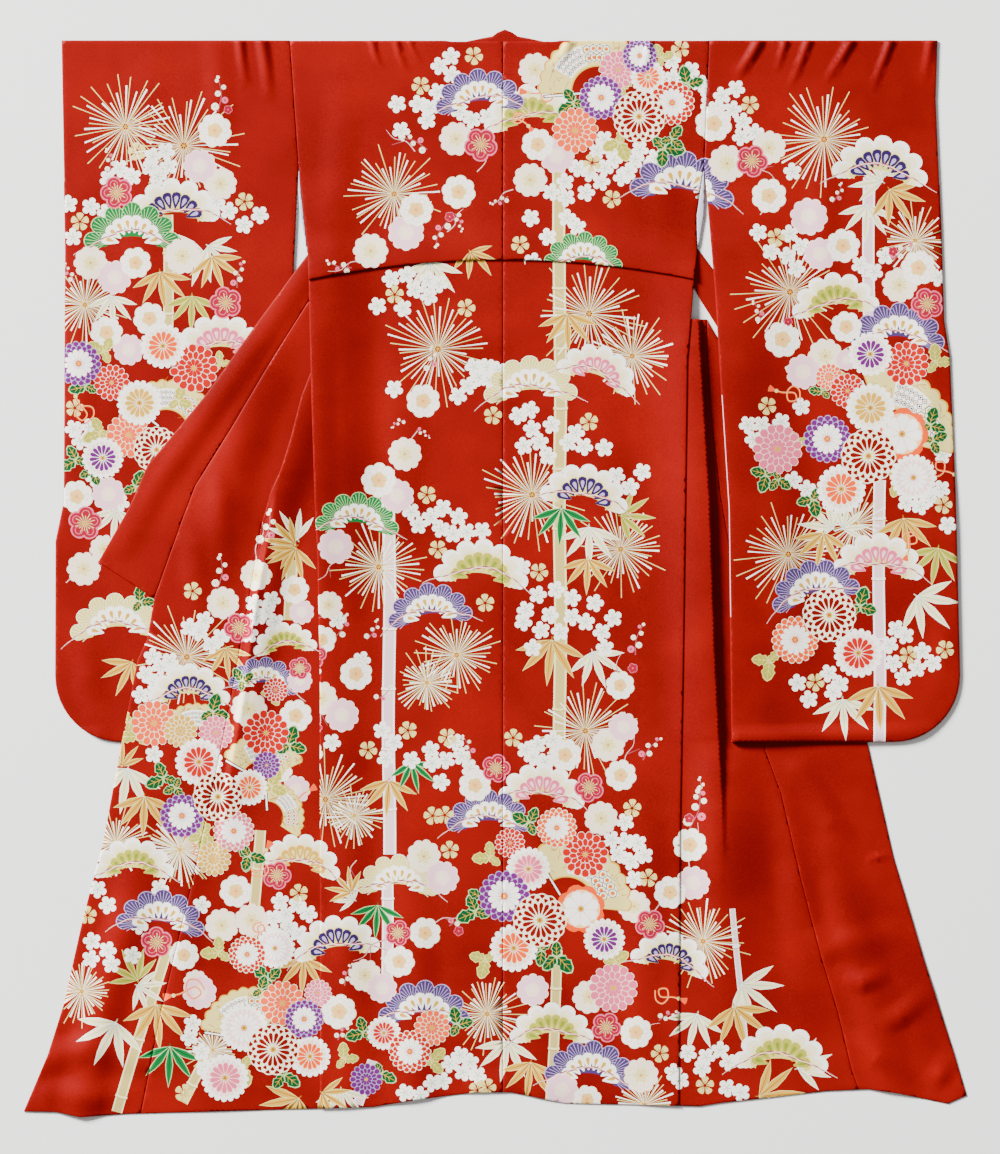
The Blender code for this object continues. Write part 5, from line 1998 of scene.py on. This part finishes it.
@dataclass(frozen=True)
class CrepeSilk:
    """Crepe silk: twisted threads give a fine grain and break up the gloss.

    Attributes:
        name: The material's name.
        colour: sRGB hex value of the dye.
        deep: sRGB hex value of its darker patches, or None for an even dye.
        roughness: Middle roughness.
        metallic: Share of metal, for leaf pressed on the silk.
        sheen: Soft glow of the fibres at a slant.
        grain: Height of the grain in mm.
    """

    name: str
    colour: str
    deep: Optional[str] = None
    roughness: float = 0.52
    metallic: float = 0.0
    sheen: float = 0.15
    grain: float = 0.16

    def material(self) -> bpy.types.Material:
        """Grain of twisted threads, uneven gloss and, where deep is given, patches of deeper dye.

        Returns:
            The material.
        """
        made = bpy.data.materials.new(self.name)
        made.use_nodes = True
        tree = made.node_tree
        place = add_node(tree, "ShaderNodeTexCoord").outputs["Object"]
        # The real grain is about 0.4 mm. It is drawn at 1.7 mm, so that it still shows over 1.7 m.
        grain = add_node(tree, "ShaderNodeTexNoise", None, {
            "Vector": place, "Scale": 590.0, "Detail": 2.0, "Roughness": 0.6}).outputs["Fac"]
        bump = add_node(tree, "ShaderNodeBump", None, {
            "Height": grain, "Strength": 0.55, "Distance": self.grain * METRES})
        gloss = add_node(tree, "ShaderNodeMapRange", None, {
            "Value": grain, "From Min": 0.3, "From Max": 0.7,
            "To Min": self.roughness - GLOSS_SPREAD, "To Max": self.roughness + GLOSS_SPREAD})
        colour = linear(self.colour)
        fill(tree.nodes["Principled BSDF"], {
            "Base Color": self.patched(tree, place, grain) if self.deep else colour,
            "Roughness": gloss.outputs["Result"], "Normal": bump.outputs["Normal"],
            "Metallic": self.metallic, "IOR": SILK_IOR, "Specular IOR Level": 0.06,
            "Sheen Weight": self.sheen, "Sheen Tint": colour, "Sheen Roughness": 0.45})
        return made

    def patched(self, tree: bpy.types.NodeTree, place: bpy.types.NodeSocket,
                grain: bpy.types.NodeSocket) -> bpy.types.NodeSocket:
        """The dye with soft patches and a speckle of its deeper tone.

        Args:
            tree: The material's node tree.
            place: Object coordinates.
            grain: The grain.

        Returns:
            The colour.
        """
        # Patches of 180 mm, as a large piece takes up dye and light unevenly.
        soft = add_node(tree, "ShaderNodeTexNoise", None, {
            "Vector": place, "Scale": 5.5, "Detail": 3.0, "Roughness": 0.55}).outputs["Fac"]
        patches = add_node(tree, "ShaderNodeMapRange", None, {
            "Value": soft, "From Min": 0.36, "From Max": 0.64, "To Min": 0.0, "To Max": 0.55})
        speckle = add_node(tree, "ShaderNodeMapRange", None, {
            "Value": grain, "From Min": 0.35, "From Max": 0.68, "To Min": 0.42, "To Max": 0.0})
        both = add_node(tree, "ShaderNodeMath", {"operation": "ADD", "use_clamp": True}, {
            0: patches.outputs["Result"], 1: speckle.outputs["Result"]})
        mixed = add_node(tree, "ShaderNodeMix", {"data_type": "RGBA"}, {
            "Factor": both.outputs[0], 6: linear(self.colour), 7: linear(self.deep)})
        return mixed.outputs[2]


class Wardrobe:
    """The finishes of the garment, each made once."""

    GROUND = CrepeSilk("Crepe silk, dyed red", Dye.GROUND.value, "#640503")
    LINING = CrepeSilk("Plain-woven lining silk, pale lilac", Dye.LINING.value, None, 0.42, 0.0, 0.2, 0.05)
    LEAF_DYES = (Dye.GOLD, Dye.PALE_GOLD, Dye.OCHRE)

    def __init__(self) -> None:
        """Starts with no material made."""
        self.made: dict[Dye, bpy.types.Material] = {}

    def material(self, dye: Dye) -> bpy.types.Material:
        """The material of a dye.

        Args:
            dye: The dye.

        Returns:
            Its material, made when first asked for.
        """
        if dye not in self.made:
            self.made[dye] = self.finish(dye).material()
        return self.made[dye]

    def finish(self, dye: Dye) -> CrepeSilk:
        """The finish of a dye: leaf for the golds, and dye in the silk for the rest.

        Args:
            dye: The dye.

        Returns:
            Its finish.
        """
        if dye is Dye.GROUND:
            return self.GROUND
        if dye is Dye.LINING:
            return self.LINING
        word = dye.name.lower().replace("_", " ")
        if dye in self.LEAF_DYES:
            return CrepeSilk(f"Gold leaf pressed on silk, {word}", dye.value, None, 0.42, 0.25, 0.1, 0.12)
        return CrepeSilk(f"Crepe silk, resist-dyed {word}", dye.value)


# Pieces of the garment

@dataclass
class Piece:
    """A sewn piece of cloth that lies on the layers under it.

    Attributes:
        name: The object's name.
        node: The CAD node it stands for.
        slot: The record's material slot. Not used.
        level: Layers under it at each place.
        cut: Width and length of the cloth it is cut from, in mm. Not used.
        cut_area: Area of the cut in square mm. Not used.
        rests_on: What it lies on. Not used.
        folds: The large folds in it.
        creases: The small ones.
        pattern: The dyed figures on it, or None.
        ground: The dye of the rest.
        lines: Thin lines along its edges.
    """

    name: str
    node: str
    slot: str
    level: Level
    cut: tuple
    cut_area: float
    rests_on: tuple = ("floor",)
    folds: tuple = ()
    creases: tuple = ()
    pattern: Optional[Pattern] = None
    ground: Dye = Dye.GROUND
    lines: tuple = ()

    def outline(self) -> np.ndarray:
        """The piece's outline in the plan."""
        raise NotImplementedError

    def middle(self, x: np.ndarray, down: np.ndarray) -> np.ndarray:
        """Height of the wall's middle."""
        return FLOOR_LAYER + LAYER * self.level(x, down) + sum(fold.rise(x, down) for fold in self.folds)

    def creased(self, x: np.ndarray, down: np.ndarray) -> np.ndarray:
        """How far the small creases lift the cloth."""
        return sum(crease.rise(x, down) for crease in self.creases)

    def top(self, x: np.ndarray, down: np.ndarray) -> np.ndarray:
        """Height of the upper face."""
        return self.middle(x, down) + WALL / 2 + ripple(x, down) + self.creased(x, down)

    def resting(self, x: np.ndarray, down: np.ndarray) -> np.ndarray:
        """Height of the lower face without creases: flat on the floor, uneven on other cloth."""
        return self.middle(x, down) - WALL / 2 + ripple(x, down) * np.clip(self.level(x, down), 0, 1)

    def bottom(self, x: np.ndarray, down: np.ndarray) -> np.ndarray:
        """Height of the lower face."""
        return self.resting(x, down) + self.creased(x, down)

    def shapes(self, loop: np.ndarray, top: Level) -> list[Shape]:
        """The dyed shapes on an outline, fine enough to follow the relief."""
        found = self.pattern.on(loop) if self.pattern else []
        return following([*found, *self.lines], top)

    def add_wall(self, mesh: ClothMesh, loop: np.ndarray, top: Level, bottom: Level) -> None:
        """Adds one closed wall of cloth with the pattern dyed into its upper face.

        Args:
            mesh: The mesh to add to.
            loop: The wall's outline.
            top: Height of its upper face.
            bottom: Height of its lower face.
        """
        loop = densified(loop, EDGE_STEP)
        upper = cut_sheet(loop, inner_points(loop, top, False), self.shapes(loop, top), self.ground)
        plan = upper.points[upper.loop]
        lower = cut_sheet(plan, inner_points(plan, bottom, True), (), self.ground)
        rims = mesh.printed(upper, top, Rim(loop)), mesh.plain(lower, bottom, plan[0])
        mesh.sew(*rims, self.ground)

    def add_walls(self, mesh: ClothMesh) -> None:
        """Adds the piece's walls."""
        self.add_wall(mesh, self.outline(), self.top, self.bottom)

    def build(self, wardrobe: Wardrobe) -> bpy.types.Object:
        """Args:
            wardrobe: Where its materials come from.

        Returns:
            The object.
        """
        mesh = ClothMesh()
        self.add_walls(mesh)
        piece = mesh.to_object(self.name, wardrobe)
        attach(piece, "root")
        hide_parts(self.node)
        LOG.info("%s: %d faces, %d finishes", self.name, len(piece.data.polygons), len(piece.data.materials))
        return piece


@dataclass
class Sleeve(Piece):
    """A long sleeve: cloth folded over at the shoulder, sewn at the foot and up to the wrist opening.

    Attributes:
        inner: The edge next to the body.
        outer: The edge at the wrist.
        side: -1 for the left sleeve and 1 for the right one.
    """

    inner: np.ndarray = field(default_factory=lambda: SLEEVE_INNER_LEFT)
    outer: np.ndarray = field(default_factory=lambda: SLEEVE_OUTER_LEFT)
    side: int = -1

    def outline(self) -> np.ndarray:
        """Along the shoulder, down the wrist side, round its lower corner, and back up the inner edge.

        Returns:
            The outline in the plan.
        """
        outer = stretch(self.outer, 0, SLEEVE_DROP - SLEEVE_CORNER)
        angle = np.radians(np.linspace(7.5, 90, 12))
        down = SLEEVE_DROP - SLEEVE_CORNER * (1 - np.sin(angle))
        inwards = self.side * SLEEVE_CORNER * (1 - np.cos(angle))
        return loop_of(outer, np.column_stack((edge_x(self.outer, down) - inwards, down)), self.inner[::-1])

    def upper(self, x: np.ndarray, down: np.ndarray) -> np.ndarray:
        """Height of the upper wall's upper face."""
        return self.top(x, down) + LAYER

    def add_walls(self, mesh: ClothMesh) -> None:
        """Adds both walls of the flattened tube, open at the wrist and along the inner edge.

        Args:
            mesh: The mesh to add to.
        """
        loop = densified(self.outline(), EDGE_STEP)
        points, shapes = inner_points(loop, self.upper, False), self.shapes(loop, self.upper)
        printed = cut_sheet(loop, points, shapes, self.ground)
        plan = printed.points[printed.loop]
        hidden = cut_sheet(plan, inner_points(plan, self.upper, True), (), Dye.LINING)
        under = Sheet(hidden.points, hidden.triangles, [self.ground] * len(hidden.dyes), hidden.loop)
        top = mesh.printed(printed, self.upper, Rim(loop))
        top_inside = mesh.plain(hidden, lambda x, down: self.upper(x, down) - WALL, plan[0])
        low_inside = mesh.plain(under, lambda x, down: self.resting(x, down) + WALL, plan[0], True)
        low = mesh.plain(under, self.resting, plan[0])
        spots = np.vstack(mesh.spots)
        run = np.roll(plan, -1, axis=0) - np.roll(plan, 1, axis=0)
        outwards = np.column_stack((-run[:, 1], run[:, 0])) / np.linalg.norm(run, axis=1)[:, None]
        height = (spots[top][:, 2] + spots[low][:, 2]) / 2 / METRES
        fold = mesh.vertices(plan + outwards * LAYER / 2, height)
        open_edge = self.open_edges(plan)
        mesh.sew(top, top_inside, self.ground, open_edge)
        mesh.sew(low_inside, low, self.ground, open_edge)
        mesh.sew(top, fold, self.ground, ~open_edge)
        mesh.sew(fold, low, self.ground, ~open_edge)
        mesh.sew(low_inside, top_inside, Dye.LINING, ~open_edge)
        for k in np.flatnonzero(open_edge != np.roll(open_edge, 1)):
            rim = [int(ids[k]) for ids in (top, fold, low, low_inside, top_inside)]
            mesh.faces.append(rim if open_edge[k] else rim[::-1])
            mesh.dyes.append(self.ground)

    def open_edges(self, plan: np.ndarray) -> np.ndarray:
        """Which boundary edges are open: all of the inner edge, and the wrist edge down to its opening.

        Args:
            plan: The boundary's spots.

        Returns:
            True for each edge that is open.
        """
        x, down = plan.T
        inner = np.abs(x - edge_x(self.inner, down)) < ON_EDGE
        wrist = (np.abs(x - edge_x(self.outer, down)) < ON_EDGE) & (down < CUFF_OPENING)
        return (inner & np.roll(inner, -1)) | (wrist & np.roll(wrist, -1))


@dataclass
class BackHalf(Piece):
    """Half of the back, from the shoulder to the hem, with the waist tuck sewn across it.

    Attributes:
        edge: Its side edge.
        side: -1 for the left half and 1 for the right one.
        yoke: The dyed figures above the tuck.
    """

    edge: np.ndarray = field(default_factory=lambda: BACK_EDGE_LEFT)
    side: int = -1
    yoke: Optional[Pattern] = None

    def tuck(self, shift: float = 0.0) -> np.ndarray:
        """The tuck line.

        Args:
            shift: How far below the tuck the line lies.

        Returns:
            The line, from the centre seam.
        """
        x = np.linspace(self.side * GAP / 2, edge_x(self.edge, TUCK_DOWN + TUCK_SAG), 13)
        down = tuck_line(x) + shift
        x[-1] = edge_x(self.edge, down[-1])
        return np.column_stack((x, down))

    def outline(self) -> np.ndarray:
        """The half below the tuck.

        Returns:
            The outline in the plan.
        """
        top = self.tuck(-TUCK_LAP)
        side = to_hem(stretch(self.edge, top[-1, 1] + 1, 1690))
        seam = self.side * GAP / 2
        hem = hem_between(*sorted((side[-1, 0], seam)))
        return loop_of(top, side, hem[::self.side * -1])

    def neck_and_yoke(self) -> np.ndarray:
        """The half above the tuck.

        Returns:
            The outline in the plan.
        """
        tuck = self.tuck()
        side = stretch(self.edge, 0, tuck[-1, 1] - 1)
        across = self.side * np.array((120.0, 92, 89, 86, 83, 80, 40, GAP / 2))
        neck = np.column_stack((across, NECK_DIP * ramp(NECK_ASIDE, np.abs(across))))
        return loop_of(side[::-1], neck, tuck)

    def raised(self, x: np.ndarray, down: np.ndarray) -> np.ndarray:
        """How much one of the tuck's two hidden layers lifts the cloth above it."""
        return LAYER * ramp(TUCK_RISE, down - tuck_line(x))

    def add_walls(self, mesh: ClothMesh) -> None:
        """Adds the wall below the tuck, then the one above it whose foot is the tuck's fold.

        Args:
            mesh: The mesh to add to.
        """
        super().add_walls(mesh)
        lower, self.pattern = self.pattern, self.yoke
        self.add_wall(mesh, self.neck_and_yoke(),
                      lambda x, down: self.top(x, down) + 2 * self.raised(x, down),
                      lambda x, down: self.bottom(x, down) + self.raised(x, down))
        self.pattern = lower


def edge_line(dye: Dye, edge: np.ndarray, downs: tuple, *across: float) -> Shape:
    """A thin line along an edge between two distances down, from one distance across to another."""
    part = stretch(edge, *downs)
    return dye, loop_of(moved(part, across[0]), moved(part, across[1])[::-1])


def tucked(edge: np.ndarray, fade: tuple) -> np.ndarray:
    """A right edge moved on by TUCKED, but less and less between the two distances down of fade."""
    shares = ramp(((fade[0], 1), (fade[1], 0)), edge[:, 1])
    return edge + np.outer(shares, (TUCKED, 0))


def to_hem(edge: np.ndarray) -> np.ndarray:
    """A line with its last spot moved down or up to the hem.

    Args:
        edge: The line.

    Returns:
        The same line, ending at the hem.
    """
    edge = edge.copy()
    edge[-1, 1] = hem_down(edge[-1, 0])
    return edge


@dataclass
class Panel(Piece):
    """A front or overlap panel between two edges, down to the hem.

    Attributes:
        left: Its left edge from top to hem.
        right: Its right edge from top to hem.
    """

    left: np.ndarray = field(default_factory=lambda: OKUMI_EDGE_LEFT)
    right: np.ndarray = field(default_factory=lambda: OKUMI_SEAM_LEFT)

    def outline(self) -> np.ndarray:
        """Down the left edge, along the hem and up the right edge."""
        left, right = to_hem(self.left), to_hem(self.right)
        return loop_of(left[:-1], hem_between(left[-1, 0], right[-1, 0]), right[-2::-1])


@dataclass
class Strip(Piece):
    """A strip with its outline given, such as the collar or a sliver of lining.

    Attributes:
        loop: The outline.
    """

    loop: np.ndarray = field(default_factory=lambda: COLLAR_OUTER)

    def outline(self) -> np.ndarray:
        """The given outline."""
        return self.loop


# The whole garment

def level_spots(edge: np.ndarray, downs: Sequence[float]) -> np.ndarray:
    """A line's spots at given distances down."""
    order = np.argsort(edge[:, 1])
    return np.column_stack((np.interp(downs, edge[order, 1], edge[order, 0]), downs))


def upper_front(edge: np.ndarray, downs: Sequence[float], right: bool) -> np.ndarray:
    """The outline of an upper front between the collar and the side.

    Args:
        edge: Its side edge.
        downs: Where it has spots, from the shoulder down.
        right: Whether it is the right one.

    Returns:
        The outline.
    """
    inner = np.vstack((line((-92, 2)), level_spots(moved(COLLAR_OUTER[6:11], -2), downs[1:])))
    outer = moved(level_spots(edge, downs), -GAP if right else GAP)
    return loop_of(mirrored(inner) if right else inner, outer[::-1])


def lining_strip(back: np.ndarray, front: np.ndarray, side: int) -> np.ndarray:
    """The outline of the lining between a back's edge and the upper front's, on a side from -1 to 1."""
    inner, outer = moved(level_spots(back, LINING_DOWNS), side * GAP), level_spots(front, LINING_DOWNS)
    return loop_of(inner, moved(outer, -side * GAP)[::-1])


def above_left(x: np.ndarray, down: np.ndarray) -> np.ndarray:
    """One layer more than the left front has under it."""
    return left_level(x, down) + 1


def one_layer(x: np.ndarray, down: np.ndarray) -> np.ndarray:
    """The level of what lies on a single layer."""
    return np.ones_like(x)


class Furisode:
    """The garment: two sleeves, two halves of the back, fronts, overlap panels, collar and lining."""

    def __init__(self) -> None:
        """Cuts the pattern into its zones."""
        self.wardrobe = Wardrobe()
        self.skirt = Pattern(BACK, SKIRT)
        self.left_front = Pattern(LEFT_FRONT, SKIRT)
        self.yoke = Pattern(YOKE)

    def sleeves(self) -> list[Piece]:
        """Both sleeves.

        Returns:
            The left and the right one.
        """
        cut = (380.0, 2 * SLEEVE_DROP + 20)
        area = 0.96 * cut[0] * cut[1]
        return [
            Sleeve("left_sleeve_cloth", "sleeve_left", "printed_silk", on_floor, cut, area,
                   creases=SLEEVE_CREASES_LEFT, pattern=Pattern(LEFT_SLEEVE)),
            Sleeve("right_sleeve_cloth", "sleeve_right", "printed_silk", sleeve_right_level, cut, area,
                   ("front_right", "okumi_right", "collar"), creases=SLEEVE_CREASES_RIGHT,
                   pattern=Pattern(RIGHT_SLEEVE), inner=SLEEVE_INNER_RIGHT,
                   outer=SLEEVE_OUTER_RIGHT, side=1,
                   lines=(edge_line(Dye.PALE_PINK, SLEEVE_INNER_RIGHT, (560, 910), 0.1, 1.0),)),
        ]

    def backs(self) -> list[Piece]:
        """Both halves of the back.

        Returns:
            The left and the right one.
        """
        cut, area = (335.0, 1760.0), 0.93 * 335 * 1760
        return [
            BackHalf("left_back_cloth", "back_left", "printed_silk", back_left_level, cut, area,
                     ("front_left", "front_top_left", "lining_left"), (LEFT_EDGE_ROLL, BACK_WAVE),
                     BACK_CREASES, self.skirt, yoke=self.yoke),
            BackHalf("right_back_cloth", "back_right", "printed_silk", back_right_level, cut, area,
                     ("front_right", "front_top_right", "lining_right"), (RIGHT_RIDGE, RIGHT_FALL),
                     BACK_CREASES, self.skirt, edge=BACK_EDGE_RIGHT, side=1, yoke=self.yoke),
        ]

    def fronts(self) -> list[Piece]:
        """Both fronts and both overlap panels.

        Returns:
            The fronts, then the panels, each from left to right.
        """
        left_side = tucked(stretch(moved(BACK_EDGE_LEFT, LAP), 494, 1690), (830, 990))
        right_side = stretch(moved(BACK_EDGE_RIGHT, -LAP), 440, 1690)
        collar_side = moved(COLLAR_INNER[5::-1], 2 * SEAM, SEAM)
        pleat = tucked(moved(OKUMI_SEAM_LEFT, -SEAM), (712, 762))
        return [
            Panel("left_front_cloth", "front_left", "printed_silk", left_level, (320.0, 1150.0), 204000,
                  ("sleeve_left",), (LEFT_RIDGE, LEFT_PLEAT), LEFT_FRONT_CREASES, self.left_front,
                  left=moved(OKUMI_SEAM_LEFT, SEAM), right=left_side),
            Panel("right_front_cloth", "front_right", "printed_silk", on_floor, (300.0, 1250.0), 181000,
                  folds=(RIGHT_RIDGE, RIGHT_FALL, RIGHT_FRONT_WAVE), creases=RIGHT_FRONT_CREASES,
                  pattern=Pattern(SKIRT), left=right_side, right=moved(OKUMI_SEAM_RIGHT, -SEAM)),
            Panel("left_overlap_cloth", "okumi_left", "printed_silk", left_level, (270.0, 1270.0), 177000,
                  ("sleeve_left",), (LEFT_RIDGE, LEFT_HEM_WAVE), LEFT_FRONT_CREASES, self.left_front,
                  left=loop_of(collar_side, OKUMI_EDGE_LEFT),
                  right=loop_of(line((-272, 396), (-264, 478)), pleat)),
            Panel("right_overlap_cloth", "okumi_right", "red_silk", on_floor, (270.0, 1230.0), 172000,
                  folds=(RIGHT_FALL, RIGHT_FRONT_WAVE), creases=RIGHT_FRONT_CREASES,
                  left=moved(OKUMI_SEAM_RIGHT, SEAM), right=loop_of(line((432, 636)), OKUMI_EDGE_RIGHT)),
        ]

    def strips(self) -> list[Piece]:
        """The collar, the upper fronts under the back, and the lining that shows under the arms.

        Returns:
            The collar, then the others, each from left to right.
        """
        collar = loop_of(COLLAR_OUTER, mirrored(COLLAR_OUTER)[-2::-1], mirrored(COLLAR_INNER),
                         COLLAR_INNER[-2::-1])
        return [
            Strip("collar_cloth", "collar", "collar_silk", collar_level, (65.0, 2440.0), 0.108e6,
                  ("sleeve_left",), creases=COLLAR_CREASES, loop=collar),
            Strip("left_upper_front_cloth", "front_top_left", "lining_silk", left_level, (250.0, 340.0),
                  45000, ground=Dye.LINING, loop=upper_front(FRONT_TOP_LEFT, LEFT_TOP_DOWNS, False)),
            Strip("right_upper_front_cloth", "front_top_right", "lining_silk", on_floor, (240.0, 330.0),
                  41000, ground=Dye.LINING, loop=upper_front(FRONT_TOP_RIGHT, RIGHT_TOP_DOWNS, True)),
            Strip("left_lining_strip", "lining_left", "lining_silk", above_left, (10.0, 120.0), 500,
                  ("front_top_left",), ground=Dye.LINING,
                  loop=lining_strip(BACK_EDGE_LEFT, FRONT_TOP_LEFT, -1)),
            Strip("right_lining_strip", "lining_right", "lining_silk", one_layer, (12.0, 120.0), 800,
                  ("front_top_right",), ground=Dye.LINING,
                  loop=lining_strip(BACK_EDGE_RIGHT, FRONT_TOP_RIGHT, 1)),
        ]

    def build(self) -> list[bpy.types.Object]:
        """Builds every piece from the floor upwards."""
        pieces = [*self.fronts(), *self.sleeves(), *self.strips(), *self.backs()]
        return [piece.build(self.wardrobe) for piece in pieces]


# Surroundings

@dataclass(frozen=True)
class Studio:
    """A pale floor under soft light from the upper left, and a camera straight above.

    Attributes:
        floor_size: Width of the floor in metres.
        floor_drop: How far it lies under the cloth, in metres.
        key_place: Place of the large soft lamp in metres.
        key_size: Its width in metres.
        key_power: Its power in watts.
        room_light: Strength of the light from all round.
    """

    floor_size: float = 9.0
    floor_drop: float = 0.0004
    key_place: tuple = (-14.0, 11.3, 8.0)
    key_size: float = 5.6
    key_power: float = 22700.0
    room_light: float = 0.38

    def floor(self) -> bpy.types.Object:
        """A floor of matt paper, which keeps the shadows soft and shows no gloss.

        Returns:
            The floor.
        """
        bpy.ops.mesh.primitive_plane_add(size=self.floor_size, location=(0, 0, -self.floor_drop))
        floor = bpy.context.object
        floor.name = "studio_floor"
        made = bpy.data.materials.new("White paper roll, matt")
        made.use_nodes = True
        fill(made.node_tree.nodes["Principled BSDF"], {
            "Base Color": linear("#F4F3F1"), "Roughness": 0.85, "Specular IOR Level": 0.1})
        floor.data.materials.append(made)
        return floor

    def lights(self) -> None:
        """A large lamp low at the upper left, and even light from the room."""
        bpy.ops.object.light_add(type="AREA", location=self.key_place)
        key = bpy.context.object
        key.rotation_euler = (-Vector(self.key_place)).to_track_quat("-Z", "Y").to_euler()
        key.data.energy = self.key_power
        key.data.size = self.key_size
        world = bpy.data.worlds.new("Studio room")
        world.use_nodes = True
        fill(world.node_tree.nodes["Background"],
             {"Color": linear("#FFFFFF"), "Strength": self.room_light})
        bpy.context.scene.world = world

    def camera(self) -> None:
        """Looks straight down, with the shoulders up and the photo's frame."""
        spot = ((VIEW_X - CENTRE_X) * METRES, (CENTRE_DOWN - VIEW_DOWN) * METRES, CAMERA_HEIGHT)
        bpy.ops.object.camera_add(location=spot)
        camera = bpy.context.object
        camera.data.sensor_width = SENSOR
        camera.data.lens = SENSOR * CAMERA_HEIGHT / (VIEW_HEIGHT * METRES)
        bpy.context.scene.camera = camera


def main() -> None:
    """Loads the frame, builds the garment and the studio, and logs each piece's faces and finishes."""
    logging.basicConfig(level=logging.INFO, format="%(name)s: %(message)s")
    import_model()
    Furisode().build()
    studio = Studio()
    studio.floor()
    studio.lights()
    studio.camera()


if __name__ == "__main__":
    main()
